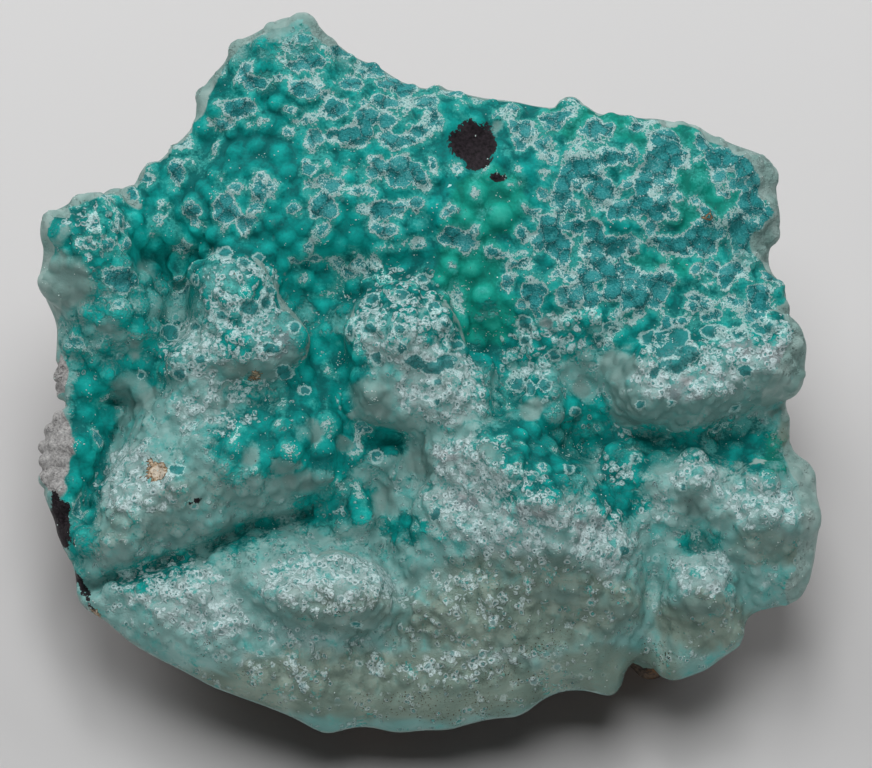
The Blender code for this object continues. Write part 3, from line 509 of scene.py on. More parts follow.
def nearestOn(tree, points):
    # the nearest places on a surface, and which way it faces there
    hits = [tree.find_nearest(Vector(point)) for point in points]
    return np.array([hit[0] for hit in hits]), np.array([hit[1] for hit in hits])


def scatterBeads(obj):
    draw = np.random.default_rng(beadMake["seed"])
    tree = treeOf(obj)
    spots = draw.uniform(cadBox[0], cadBox[1], (beadMake["tries"], 3))
    draws = draw.random((beadMake["tries"], 2))
    points, normals = nearestOn(tree, spots)
    kinds = habitsAt(points, normals)
    grid = beadMake["grid"] * mm
    keys = np.floor(points / grid).astype(int)
    cells = {}
    beads = []
    for i in np.flatnonzero(kinds != "none"):
        make = beadMake[kinds[i]]
        size, tone = draws[i]
        smallest, largest = make["radius"]
        radius = (smallest + (largest - smallest) * size) * mm
        place = Vector(points[i])
        x, y, z = keys[i]
        near = [
            bead
            for dx in (-1, 0, 1) for dy in (-1, 0, 1) for dz in (-1, 0, 1)
            for bead in cells.get((x + dx, y + dy, z + dz), ())
        ]
        reach = make["spacing"] / 2
        if any((bead["place"] - place).length < reach * (radius + bead["radius"]) for bead in near):
            continue
        bead = {"place": place, "normal": Vector(normals[i]), "radius": radius, "tone": tone}
        bead["sunk"] = make["sunk"]
        cells.setdefault((x, y, z), []).append(bead)
        beads.append(bead)
    return beads


def beadMesh(beads):
    # one ball is made, and every spherule is a moved copy of it
    bpy.ops.object.select_all(action="DESELECT")
    bpy.ops.mesh.primitive_ico_sphere_add(subdivisions=2, radius=1.0)
    ball = bpy.context.active_object
    points = meshPoints(ball.data)
    corners = np.array([list(polygon.vertices) for polygon in ball.data.polygons])
    bpy.data.objects.remove(ball)
    centres = np.array([bead["place"] - bead["normal"] * bead["radius"] * bead["sunk"] for bead in beads])
    radii = np.array([bead["radius"] for bead in beads])
    allPoints = (points[None] * radii[:, None, None] + centres[:, None]).reshape(-1, 3)
    allCorners = (corners[None] + (np.arange(len(beads)) * len(points))[:, None, None]).reshape(-1, 3)
    mesh = bpy.data.meshes.new("spherules")
    mesh.from_pydata(allPoints.tolist(), [], allCorners.tolist())
    obj = bpy.data.objects.new("spherules", mesh)
    bpy.context.scene.collection.objects.link(obj)
    return obj


def moveOutline(mesh):
    points = meshPoints(mesh)
    across, up, _ = onFace(points)
    for middleAcross, middleUp, reach, moveAcross, moveUp in outlineMoves:
        share = 1.0 - ease(0.0, 1.0, np.hypot(across - middleAcross, up - middleUp) / reach)
        points += (share * mm)[:, None] * (moveUp * upFace + (moveAcross, 0.0, 0.0))
    setPoints(mesh, points)


def swellFace(mesh):
    points = meshPoints(mesh)
    across, up, out = onFace(points)
    front = ease(0.0, 1.0, -crustDepth(up, out))
    rise = np.zeros_like(up)
    for axis, (size, most, upper, lower) in enumerate(noiseMoves):
        rise += noiseAt(points, size)[:, axis] * most * ease(upper, lower, up)
    for oval in faceMoves:
        rise += patchShare([oval], across, up)
    points += outFace * (rise * front * mm)[:, None]
    setPoints(mesh, points)


def carveCreases(mesh):
    points = meshPoints(mesh)
    across, up, out = onFace(points)
    size, most = stoneMake["creaseWobble"]
    wobble = noiseAt(points, size) * most
    upper = out > valleyFloor(up) - stoneMake["creaseDeepest"]
    for depth, width, line in creases:
        away = lineDistance(line, across + wobble[:, 0], up + wobble[:, 1])
        share = 1.0 - ease(0.0, 1.0, away / (2.0 * width))
        points -= outFace * (share * upper * depth * mm)[:, None]
    setPoints(mesh, points)


def markLow(obj):
    # the lowest edge of the face is smooth
    across, up, _ = onFace(meshPoints(obj.data))
    group = obj.vertex_groups.new(name="low")
    shares = ease(*stoneMake["lowFrom"], up) * ease(*stoneMake["lowLeftOf"], across)
    for i in np.flatnonzero(shares > stoneMake["lowLeast"]):
        group.add([int(i)], shares[i], "REPLACE")


def sinkFace(mesh, tree):
    # the face settles a little, so that the spherules stand on it
    points = meshPoints(mesh)
    _, normals = nearestOn(tree, points)
    grown = habitsAt(points, normals) != "none"
    setPoints(mesh, points - normals * (grown * stoneMake["sinkForBeads"] * mm)[:, None])


def topsOf(beads):
    tops = KDTree(len(beads))
    for i, bead in enumerate(beads):
        tops.insert(bead["place"] + bead["normal"] * bead["radius"] * (1 - bead["sunk"]), i)
    tops.balance()
    return tops


def wornDepth(points, across, up, beads, tops):
    # the worn patches again, drawn in to the caps of the spherules
    pull = np.empty(len(points))
    for i, point in enumerate(points):
        _, index, away = tops.find(point)
        pull[i] = wearMake["capMiddle"] - min(away / beads[index]["radius"], wearMake["capReach"])
    return wearAt(points, across, up) + pull * wearMake["capPull"]


def holeDepth(points, across, up):
    size, most = coatMake["holeRagged"]
    ragged = noiseAt(points, size) * most
    return patchDepth(holes, across + ragged[:, 0], up + ragged[:, 1])


def raiseCoat(mesh, tree, beads, tops):
    # the coat stands a little above the worn caps, and the holes go in
    points = meshPoints(mesh)
    across, up, out = onFace(points)
    _, normals = nearestOn(tree, points)
    upper = ease(*coatMake["crustFrom"], -crustDepth(up, out)) * ease(*coatMake["facing"], normals @ outFace)
    coated = ease(*coatMake["edge"], wornDepth(points, across, up, beads, tops))
    coated *= patchShare(zones["teal"], across, up) * (1 - patchShare(zones["sponge"], across, up))
    sunk = ease(*coatMake["holeEdge"], holeDepth(points, across, up))
    rise = coated * coatMake["rise"] - sunk * coatMake["holeDepth"]
    setPoints(mesh, points + normals * (rise * upper * mm)[:, None])


def fitToBox(mesh):
    # the foot is flat on the floor, and the skin keeps to the solid's box
    points = meshPoints(mesh)
    points[:, 2] -= points[:, 2].min()
    points[:, 2] = np.maximum(points[:, 2] - stoneMake["flatFoot"] * mm, 0.0)
    low, high = points.min(0), points.max(0)
    for axis, (limitLow, limitHigh) in enumerate(zip(*cadBox)):
        scale = min(1.0, (limitHigh - limitLow) / (high[axis] - low[axis]))
        anchor = 0.0 if axis == 2 else (low[axis] + high[axis]) / 2
        points[:, axis] = (points[:, axis] - anchor) * scale + anchor
        over = points[:, axis].max() - limitHigh
        under = limitLow - points[:, axis].min()
        points[:, axis] += max(0.0, under) - max(0.0, over)
    setPoints(mesh, points)


def buildStone():
    stone = copyOfNode(frame["nodes"]["smithsonite"], stoneMake["name"])
    finishWith(stone, "REMESH", mode="VOXEL", voxel_size=stoneMake["baseVoxel"] * mm)
    moveOutline(stone.data)
    swellFace(stone.data)
    finishWith(stone, "SMOOTH", iterations=stoneMake["baseEase"])
    markLow(stone)
    finishWith(stone, "SMOOTH", iterations=stoneMake["lowEase"], vertex_group="low")
    carveCreases(stone.data)
    finishWith(stone, "SMOOTH", iterations=stoneMake["creaseEase"])
    base = treeOf(stone)
    print("base of", len(stone.data.polygons), "faces")
    beads = scatterBeads(stone)
    tops = topsOf(beads)
    print("spherules:", len(beads))
    sinkFace(stone.data, base)
    balls = beadMesh(beads)
    pick(stone)
    balls.select_set(True)
    bpy.ops.object.join()
    finishWith(stone, "REMESH", mode="VOXEL", voxel_size=stoneMake["skinVoxel"] * mm)
    finishWith(stone, "SMOOTH", iterations=stoneMake["skinEase"])
    print("skin of", len(stone.data.polygons), "faces")
    raiseCoat(stone.data, base, beads, tops)
    triangles = sum(len(polygon.vertices) - 2 for polygon in stone.data.polygons)
    finishWith(stone, "DECIMATE", ratio=stoneMake["triangles"] / triangles, use_collapse_triangulate=True)
    fitToBox(stone.data)
    pick(stone)
    bpy.ops.object.shade_smooth()
    print("finished skin of", len(stone.data.polygons), "triangles")
    return stone, base, beads, tops


stone, baseTree, beads, beadTops = buildStone()


# Where each painted mask begins and ends: millimetres, heights on the face, or how far the base faces out.
paintMake = {
    "strays": [(3.5, 0.7), (1.2, 0.5)],
    "creased": (2.0, 4.0),
    "frontFacing": (-0.25, -0.05),
    "frontDeepest": 5.0,
    "lumpFrom": (0.6, 2.4),
    "flankTilt": (0.28, 0.75),
    "flankFrom": (7.0, 3.0),
    "stripFacing": (0.12, 0.40),
    "stripReach": (1.6, 2.6),
    "stripSoft": 0.2,
    "stripStray": 0.1,
    "rockFrom": (-0.2, 0.5),
    "underTilt": (0.40, 0.85),
    "underSponge": 0.9,
    "leastSponge": 0.34,
    "spongeFacing": (0.55, 0.90),
    "spongeFrom": (7.0, 1.0),
    "leastTeal": (-0.05, 0.10),
    "tealFrom": (-25.0, -17.0),
    "tealStrength": 1.2,
    "tealLessOnFlank": 0.75,
    "swells": {"swell": 1.35, "drift": 3.4},
    "swellSpread": 0.11,
    "secondSwell": (0.47, 0.5),
}


def addAttribute(mesh, name, values):
    kind, field = ("FLOAT", "value") if values.ndim == 1 else ("FLOAT_VECTOR", "vector")
    attribute = mesh.attributes.new(name, kind, "POINT")
    attribute.data.foreach_set(field, values.astype(np.float32).ravel())


def swellAt(points, size):
    # soft random values about 0.5, spread as a noise texture's are
    finer, weaker = paintMake["secondSwell"]
    values = noiseAt(points, size) + weaker * noiseAt(points, size * finer)
    return 0.5 + (values - values.mean(0)) / values.std(0) * paintMake["swellSpread"]


def beadMarks(points):
    # the tone of the nearest spherule, and how far it is to the groove before the next one
    tone, groove = np.zeros((2, len(points)))
    for i, point in enumerate(points):
        (_, first, near), (_, second, far) = beadTops.find_n(point, 2)
        tone[i] = beads[first]["tone"]
        groove[i] = (far - near) / (beads[first]["radius"] + beads[second]["radius"])
    return tone, groove


def creasedShare(across, up):
    share = np.zeros_like(across)
    for _, width, line in creases:
        share = np.maximum(share, 1 - ease(*paintMake["creased"], lineDistance(line, across, up) / width))
    return share


def stripShare(across, up, outward, stray, crusted):
    # the clear edge of the crust: all round the sides, and further in along the rim strips
    make = paintMake
    share = (1 - ease(*make["stripFacing"], outward)) * crusted
    for lean, line in rimStrips:
        near = 1 - ease(*make["stripReach"], lineDistance(line, across, up))
        share = np.maximum(share, near * (1 - ease(lean - make["stripSoft"], lean, outward + stray)))
    return share


def paintStone(mesh):
    make = paintMake
    points = meshPoints(mesh)
    across, up, out = onFace(points)
    wobble = sum(noiseAt(points, size) * most for size, most in make["strays"])
    places, normals = nearestOn(baseTree, points)
    tilted = normals @ upFace
    outward = normals @ outFace

    # a crease in the front never cuts down to the rock
    front = ease(*make["frontFacing"], outward) * (out > valleyFloor(up) - make["frontDeepest"])
    crusted = 1 - creasedShare(across, up) * front
    lump = ease(*make["lumpFrom"], out - valleyFloor(up))
    flank = ease(*make["flankTilt"], -tilted) * ease(*make["flankFrom"], up) * lump
    strayed = across + wobble[:, 0], up + wobble[:, 1]
    masks = {name: patchShare(patches, *strayed) for name, patches in zones.items()}
    masks["rock"] = ease(*make["rockFrom"], crustDepth(up, out)) * crusted
    masks["flank"] = flank
    masks["strip"] = stripShare(across, up, outward, wobble[:, 0] * make["stripStray"], crusted)
    masks["wear"] = wornDepth(points, across, up, beads, beadTops)
    masks["hole"] = holeDepth(points, across, up)
    masks["tone"], masks["groove"] = beadMarks(points)
    masks["lift"] = ((points - places) * normals).sum(1) / mm

    # white caps thin out below the lumps, and a few stand all over the lower face
    masks["sponge"] *= 1 - make["underSponge"] * ease(*make["underTilt"], -tilted)
    least = make["leastSponge"] * ease(*make["spongeFacing"], outward) * ease(*make["spongeFrom"], up)
    masks["sponge"] = np.maximum(masks["sponge"], least * (1 - flank))
    low, high = make["leastTeal"]
    least = low + (high - low) * ease(*make["tealFrom"], up)
    masks["teal"] = np.maximum(masks["teal"], least) * make["tealStrength"]
    masks["teal"] *= 1 - make["tealLessOnFlank"] * flank

    for name, values in masks.items():
        addAttribute(mesh, name, values)
    for name, size in make["swells"].items():
        addAttribute(mesh, name, swellAt(points, size))


paintStone(stone.data)
print("stone painted")


# Short words for building materials.
def addNode(tree, kind, links=None, **settings):
    node = tree.nodes.new(kind)
    for name, value in settings.items():
        setattr(node, name, value)
    for name, value in (links or {}).items():
        if isinstance(value, bpy.types.NodeSocket):
            tree.links.new(value, node.inputs[name])
        else:
            node.inputs[name].default_value = value
    return node


def calc(tree, operation, *values, clamp=False):
    node = addNode(tree, "ShaderNodeMath", dict(enumerate(values)), operation=operation, use_clamp=clamp)
    return node.outputs[0]


def plus(tree, first, second):
    return calc(tree, "ADD", first, second)


def times(tree, *values):
    product = values[0]
    for value in values[1:]:
        product = calc(tree, "MULTIPLY", product, value)
    return product


def scaled(tree, value, factor, added, clamp=False):
    return calc(tree, "MULTIPLY_ADD", value, factor, added, clamp=clamp)


def rest(tree, value):
    # what is left of 1
    return calc(tree, "SUBTRACT", 1.0, value)


def step(tree, value, low, high):
    links = {"Value": value, "From Min": low, "From Max": high}
    return addNode(tree, "ShaderNodeMapRange", links, interpolation_type="SMOOTHSTEP").outputs["Result"]


def fall(tree, value, low, high):
    return rest(tree, step(tree, value, low, high))


def blend(tree, share, first, second):
    if not isinstance(second, bpy.types.NodeSocket):
        second = (*second, 1.0)
    return addNode(tree, "ShaderNodeMix", {0: share, 6: first, 7: second}, data_type="RGBA").outputs[2]


def ramp(tree, value, stops):
    node = addNode(tree, "ShaderNodeValToRGB", {"Fac": value})
    elements = node.color_ramp.elements
    while len(elements) < len(stops):
        elements.new(0.5)
    for element, (position, colour) in zip(elements, stops):
        element.position = position
        element.color = (*colour, 1.0)
    return node.outputs["Color"]


def noiseOf(tree, place, scale, detail=2.0, rough=0.5):
    links = {"Vector": place, "Scale": scale, "Detail": detail, "Roughness": rough}
    return addNode(tree, "ShaderNodeTexNoise", links).outputs[0]


def readMask(tree, name):
    return addNode(tree, "ShaderNodeAttribute", attribute_name=name).outputs["Fac"]


def shown(tree, name, stray, low, high):
    # a painted mask with its border strayed, drawn tight between the two values
    return step(tree, plus(tree, readMask(tree, name), stray), low, high)


def readSwell(tree, name):
    vector = addNode(tree, "ShaderNodeAttribute", attribute_name=name).outputs["Vector"]
    return addNode(tree, "ShaderNodeSeparateXYZ", {0: vector}).outputs


def newGroup(name, inputs, outputs):
    group = bpy.data.node_groups.new(name, "ShaderNodeTree")
    kinds = {"Place": "NodeSocketVector", "Plain": "NodeSocketVector"}
    for way, sockets in (("INPUT", inputs), ("OUTPUT", outputs)):
        for socket in sockets:
            group.interface.new_socket(socket, in_out=way, socket_type=kinds.get(socket, "NodeSocketFloat"))
    return group, group.nodes.new("NodeGroupInput").outputs, group.nodes.new("NodeGroupOutput").inputs


def placeGroup(tree, name, **links):
    return addNode(tree, "ShaderNodeGroup", links, node_tree=groups[name]).outputs


def endGroup(group, end, **values):
    for name, value in values.items():
        group.links.new(value, end[name])
    return group


def makeMillimetres():
    # object coordinates in millimetres, and the same nudged by the slow swell so that no edge is clean
    group, start, end = newGroup("millimetres", ["Nudge"], ["Place", "Plain"])
    corner = addNode(group, "ShaderNodeTexCoord").outputs["Object"]
    swell = addNode(group, "ShaderNodeAttribute", attribute_name="swell").outputs["Vector"]
    plain, push = (
        addNode(group, "ShaderNodeVectorMath", {0: vector, "Scale": scale}, operation="SCALE").outputs[0]
        for vector, scale in ((corner, 1 / mm), (swell, start["Nudge"]))
    )
    moved = addNode(group, "ShaderNodeVectorMath", {0: plain, 1: push}, operation="ADD").outputs[0]
    return endGroup(group, end, Place=moved, Plain=plain)


def makeBrokenEdge():
    # where a coat has broken away: Inside is the depth in millimetres inside the gap, below 0 on the coat
    outputs = ["Open", "Rim", "Halo", "Fringe", "Height"]
    group, start, end = newGroup("brokenEdge", ["Inside", "Stray", "Uneven", "Width"], outputs)
    inside = plus(group, start["Inside"], start["Stray"])
    opened = step(group, inside, -0.04, 0.04)
    width = times(group, start["Width"], scaled(group, start["Uneven"], 3.0, -0.45))
    away = calc(group, "ABSOLUTE", plus(group, inside, 0.03))
    rim = fall(group, away, times(group, width, 0.2), width)
    halo = times(group, rest(group, opened), step(group, inside, -0.6, 0.0))
    fringe = times(group, opened, fall(group, inside, 0.0, 0.40))
    lip = fall(group, calc(group, "ABSOLUTE", plus(group, inside, 0.10)), 0.0, 0.16)
    height = scaled(group, lip, 0.6, fall(group, inside, -0.12, 0.05))
    return endGroup(group, end, Open=opened, Rim=rim, Halo=halo, Fringe=fringe, Height=height)


def makeLace():
    # frosted lace round little pits: lone rings where Density is low, a white mesh where it is high
    inputs = ["Place", "Spacing", "Density", "Frayed", "Uneven"]
    group, start, end = newGroup("lace", inputs, ["Frost", "Pit", "Height", "Tone"])
    scale = calc(group, "DIVIDE", 1.0, start["Spacing"])
    links = {"Vector": start["Place"], "Scale": scale, "Randomness": 0.95}
    cells = addNode(group, "ShaderNodeTexVoronoi", links)
    random = addNode(group, "ShaderNodeSeparateColor", {"Color": cells.outputs["Color"]}).outputs
    present = step(group, calc(group, "SUBTRACT", start["Density"], random[0]), -0.04, 0.10)
    away = scaled(group, start["Frayed"], 0.60, calc(group, "SUBTRACT", cells.outputs["Distance"], 0.30))
    radius = scaled(group, random[1], 0.20, 0.14)
    pit = fall(group, away, calc(group, "SUBTRACT", radius, 0.09), plus(group, radius, 0.02))
    spread = scaled(group, step(group, start["Density"], 0.5, 1.0), 0.30, 0.02)
    spread = scaled(group, start["Uneven"], 0.4, spread)
    frost = fall(group, away, scaled(group, spread, 0.5, radius), plus(group, radius, spread))
    present = times(group, present, step(group, random[2], 0.10, 0.40))
    frost = times(group, present, calc(group, "SUBTRACT", frost, pit, clamp=True))
    pit = times(group, present, pit)
    height = calc(group, "SUBTRACT", frost, pit)
    return endGroup(group, end, Frost=frost, Pit=pit, Height=height, Tone=random[1])


def newMaterial(name):
    material = bpy.data.materials.new(name)
    material.use_nodes = True
    tree = material.node_tree
    return material, tree, tree.nodes["Principled BSDF"]


groups = {"millimetres": makeMillimetres(), "brokenEdge": makeBrokenEdge(), "lace": makeLace()}

# Colours of each finish from dark to light, then the sizes of patterns and edges in millimetres.
crustLook = {
    # the coat and greener colours are read partly from lift and grooves, so their light and dark ends carry
    # painted highlight and painted shade
    "coat": [(0.15, (0.000, 0.140, 0.135)), (0.38, (0.001, 0.310, 0.285)),
             (0.58, (0.004, 0.450, 0.410)), (0.80, (0.050, 0.620, 0.560))],
    "greener": [(0.15, (0.002, 0.190, 0.145)), (0.40, (0.006, 0.360, 0.275)), (0.75, (0.050, 0.540, 0.425))],
    "worn": [(0.22, (0.004, 0.145, 0.155)), (0.45, (0.020, 0.260, 0.270)),
             (0.62, (0.065, 0.350, 0.358)), (0.80, (0.260, 0.490, 0.495))],
    # painted shade for the grooves between the worn spherules
    "wornGrooveShade": (0.001, 0.065, 0.072),
    "celadon": [(0.2, (0.130, 0.330, 0.312)), (0.5, (0.220, 0.430, 0.408)), (0.8, (0.360, 0.550, 0.525))],
    # also painted over the down-facing lower flanks as painted shade
    "clear": [(0.2, (0.125, 0.235, 0.220)), (0.5, (0.190, 0.315, 0.295)), (0.8, (0.280, 0.410, 0.385))],
    "knob": [(0.15, (0.200, 0.380, 0.362)), (0.5, (0.335, 0.480, 0.468)), (0.85, (0.470, 0.570, 0.565))],
    "lilac": [(0.25, (0.200, 0.260, 0.275)), (0.5, (0.320, 0.345, 0.355)), (0.75, (0.470, 0.475, 0.485))],
    # olive tints with painted shade, darker towards the bottom edge
    "oliveAndShade": [(0.2, (0.120, 0.190, 0.160)), (0.5, (0.200, 0.275, 0.230)), (0.8, (0.320, 0.400, 0.340))],
    "tint": [(0.25, (0.030, 0.280, 0.260)), (0.5, (0.060, 0.400, 0.375)), (0.75, (0.140, 0.540, 0.505))],
    "pit": [(0.2, (0.004, 0.200, 0.200)), (0.5, (0.030, 0.270, 0.270)), (0.8, (0.080, 0.200, 0.220))],
    "lacePit": [(0.10, (0.040, 0.190, 0.195)), (0.40, (0.080, 0.300, 0.300)),
                (0.70, (0.040, 0.410, 0.385)), (0.95, (0.190, 0.330, 0.340))],
    "rim": (0.590, 0.840, 0.820),
    "frost": (0.680, 0.840, 0.850),
    "halo": (0.080, 0.540, 0.480),
    "grain": (0.420, 0.620, 0.620),
    "strip": [(0.25, (0.190, 0.330, 0.305)), (0.5, (0.270, 0.410, 0.385)), (0.75, (0.380, 0.520, 0.490))],
    "rock": [(0.3, (0.018, 0.014, 0.012)), (0.5, (0.060, 0.047, 0.038)), (0.72, (0.170, 0.130, 0.095))],
    "limonite": (0.210, 0.105, 0.040),
    "oxide": [(0.3, (0.004, 0.003, 0.004)), (0.7, (0.032, 0.024, 0.030))],
    "ochre": [(0.50, (0.060, 0.040, 0.025)), (0.66, (0.300, 0.200, 0.110)), (0.84, (0.560, 0.450, 0.330)),
              (1.00, (0.640, 0.570, 0.470))],
    "grey": [(0.3, (0.200, 0.200, 0.200)), (0.7, (0.520, 0.510, 0.500))],
    "dust": (0.060, 0.045, 0.022),
    "nudge": 0.6,
    "fineScale": 3.4,
    "gritScale": 7.5,
    "wornRim": 0.135,
    "holeRim": 0.14,
    "smallLace": 0.58,
    "largeLace": 1.00,
    "relief": 0.12,
    "specular": 0.15,
}


def makeCrustMaterial():
    look = crustLook
    material, tree, shader = newMaterial("smithsoniteCrust")
    places = placeGroup(tree, "millimetres", Nudge=look["nudge"])
    tone, lift, flank = (readMask(tree, name) for name in ("tone", "lift", "flank"))
    middle, mottle, uneven = readSwell(tree, "swell")
    broad = readSwell(tree, "drift")[0]
    fine = noiseOf(tree, places["Plain"], look["fineScale"], 2.0, 0.65)
    grit = noiseOf(tree, places["Plain"], look["gritScale"], 0.0, 0.5)
    # dip is the nearness of the grooves between spherules; it paints shade there, and also gathers white
    # grains
    dip = fall(tree, readMask(tree, "groove"), 0.02, 0.20)
    patchy = scaled(tree, middle, 0.9, -0.45)
    finer = scaled(tree, fine, 0.6, -0.30)
    stray = plus(tree, patchy, finer)
    odd = scaled(tree, tone, 0.5, -0.25)

    # how much of each finish shows: borders are patchy, and each spherule leans its own way
    clear = shown(tree, "clear", stray, 0.25, 1.05)
    tealValue = plus(tree, readMask(tree, "teal"), plus(tree, plus(tree, stray, finer), odd))
    # the teal is painted deeper in the grooves as painted shade
    teal = times(tree, step(tree, scaled(tree, dip, 0.20, tealValue), 0.22, 0.86), rest(tree, clear))
    sponge = times(tree, shown(tree, "sponge", stray, 0.20, 0.85), rest(tree, clear))
    notSponge = rest(tree, sponge)
    greener = shown(tree, "greener", patchy, 0.25, 0.8)
    oliveAndShade = shown(tree, "oliveAndShade", patchy, 0.10, 0.90)
    lilac = shown(tree, "lilac", stray, 0.25, 0.80)
    # bare crystal colour on the clear mounds, and painted shade on the lower flanks, which take the darker
    # grey
    bareAndFlankShade = calc(tree, "MAXIMUM", clear, times(tree, flank, 0.6))

    # coat and body; the coat is painted lighter on the tops of its spherules and darker in the grooves
    # between them, as painted highlight and painted shade
    coatValue = scaled(tree, tone, 0.14, times(tree, middle, 0.55))
    coatValue = scaled(tree, lift, 0.26, coatValue)
    coatValue = scaled(tree, finer, 0.50, coatValue)
    coatValue = scaled(tree, dip, -0.08, coatValue)
    coat = blend(tree, greener, ramp(tree, coatValue, look["coat"]), ramp(tree, coatValue, look["greener"]))
    bodyValue = scaled(tree, tone, 0.35, times(tree, mottle, 0.65))
    body = ramp(tree, bodyValue, look["celadon"])
    lilacShown = times(tree, lilac, 0.85)
    for share, name in ((sponge, "knob"), (oliveAndShade, "oliveAndShade"), (bareAndFlankShade, "clear"), (lilacShown, "lilac")):
        body = blend(tree, share, body, ramp(tree, bodyValue, look[name]))
    wornValue = scaled(tree, grit, 0.34, scaled(tree, tone, 0.16, times(tree, fine, 0.5)))
    # the tint gathers in the grooves, partly as painted shade
    tinted = plus(tree, plus(tree, mottle, times(tree, dip, 0.10)), times(tree, finer, 0.7))
    tinted = step(tree, scaled(tree, readMask(tree, "teal"), 0.42, tinted), 0.50, 0.86)
    tint = times(tree, tinted, rest(tree, times(tree, bareAndFlankShade, 0.8)))
    tint = times(tree, tint, rest(tree, times(tree, oliveAndShade, 0.85)), 0.85)
    body = blend(tree, tint, body, ramp(tree, wornValue, look["tint"]))
    colour = blend(tree, times(tree, teal, rest(tree, times(tree, lilac, 0.8))), body, coat)

    # worn caps of the spherules with the frosted edge of the coat round them
    strayEdge = scaled(tree, mottle, 0.9, plus(tree, fine, -0.95))
    edge = placeGroup(
        tree, "brokenEdge", Inside=readMask(tree, "wear"), Stray=strayEdge,
        Uneven=uneven, Width=look["wornRim"],
    )
    worn = times(tree, edge["Open"], teal, notSponge)
    colour = blend(tree, times(tree, edge["Halo"], teal, 0.75), colour, look["halo"])
    colour = blend(tree, worn, colour, ramp(tree, wornValue, look["worn"]))
    # painted shade: the grooves between the worn spherules are darkened
    colour = blend(tree, times(tree, worn, dip, 0.65), colour, look["wornGrooveShade"])
    grainy = times(tree, worn, calc(tree, "MAXIMUM", times(tree, dip, 0.6), edge["Fringe"]))
    colour = blend(tree, times(tree, grainy, step(tree, grit, 0.56, 0.68), 0.75), colour, look["grain"])

    # frosted lace, thick on the tops and thinning to single rings on the celadon skin
    sparse = times(tree, scaled(tree, middle, 2.2, -0.66), fall(tree, bareAndFlankShade, 0.1, 0.7))
    sparse = times(tree, sparse, fall(tree, teal, 0.2, 0.9))
    thick = times(tree, sponge, scaled(tree, uneven, 2.6, -0.25))
    density = calc(tree, "MAXIMUM", thick, times(tree, sparse, 0.9))
    wide = times(tree, density, 0.5, fall(tree, teal, 0.4, 0.8))
    icy = scaled(tree, grit, 1.8, -0.15, clamp=True)
    icy = times(tree, icy, scaled(tree, sponge, 0.55, 0.45))
    laces = []
    for spacing, dense, ragged, share in (
        (look["smallLace"], density, uneven, 0.80),
        (look["largeLace"], wide, mottle, 0.75),
    ):
        lace = placeGroup(
            tree, "lace", Place=places["Place"], Spacing=spacing, Density=dense, Frayed=fine, Uneven=ragged
        )
        pitColour = ramp(tree, lace["Tone"], look["lacePit"])
        colour = blend(tree, times(tree, lace["Pit"], 0.65), colour, pitColour)
        colour = blend(tree, times(tree, lace["Frost"], icy, share), colour, look["frost"])
        laces.append(lace)

    # single holes, and the white edges of these and of the coat
    deep = placeGroup(
        tree, "brokenEdge", Inside=readMask(tree, "hole"), Stray=times(tree, strayEdge, 0.5),
        Uneven=uneven, Width=look["holeRim"],
    )
    colour = blend(tree, times(tree, deep["Open"], 0.9), colour, ramp(tree, wornValue, look["pit"]))
    rim = calc(tree, "MAXIMUM", times(tree, edge["Rim"], teal), times(tree, deep["Rim"], 0.6))
    rim = times(tree, rim, scaled(tree, grit, 1.2, 0.38, clamp=True))
    colour = blend(tree, rim, colour, look["rim"])

    # the pale clear edge of the crust, then grains of dust
    strip = shown(tree, "strip", times(tree, stray, 0.4), 0.35, 0.65)
    colour = blend(tree, strip, colour, ramp(tree, middle, look["strip"]))
    dustHere = readMask(tree, "dusty")
    dusty = scaled(tree, patchy, 0.4, scaled(tree, dustHere, 0.11, times(tree, finer, 0.9)))
    dusty = step(tree, plus(tree, grit, dusty), 0.83, 0.88)
    colour = blend(tree, times(tree, dusty, step(tree, dustHere, 0.02, 0.2)), colour, look["dust"])

    # rock with its stains, grey beads, ochre and oxide
    rock = shown(tree, "rock", patchy, 0.35, 0.55)
    stained = step(tree, plus(tree, broad, scaled(tree, fine, 0.5, -0.25)), 0.46, 0.78)
    stained = times(tree, stained, scaled(tree, grit, 1.2, 0.2, clamp=True))
    rockValue = scaled(tree, mottle, 0.6, times(tree, fine, 0.4))
    rockColour = blend(tree, stained, ramp(tree, rockValue, look["rock"]), look["limonite"])
    colour = blend(tree, rock, colour, rockColour)
    grey = shown(tree, "greyBeads", patchy, 0.35, 0.6)
    colour = blend(tree, grey, colour, ramp(tree, fine, look["grey"]))
    ochreValue = scaled(tree, fine, 1.6, plus(tree, readMask(tree, "ochre"), -0.8))
    colour = blend(tree, step(tree, ochreValue, 0.40, 0.55), colour, ramp(tree, ochreValue, look["ochre"]))
    oxide = shown(tree, "oxide", plus(tree, stray, finer), 0.40, 0.54)
    colour = blend(tree, oxide, colour, ramp(tree, fine, look["oxide"]))

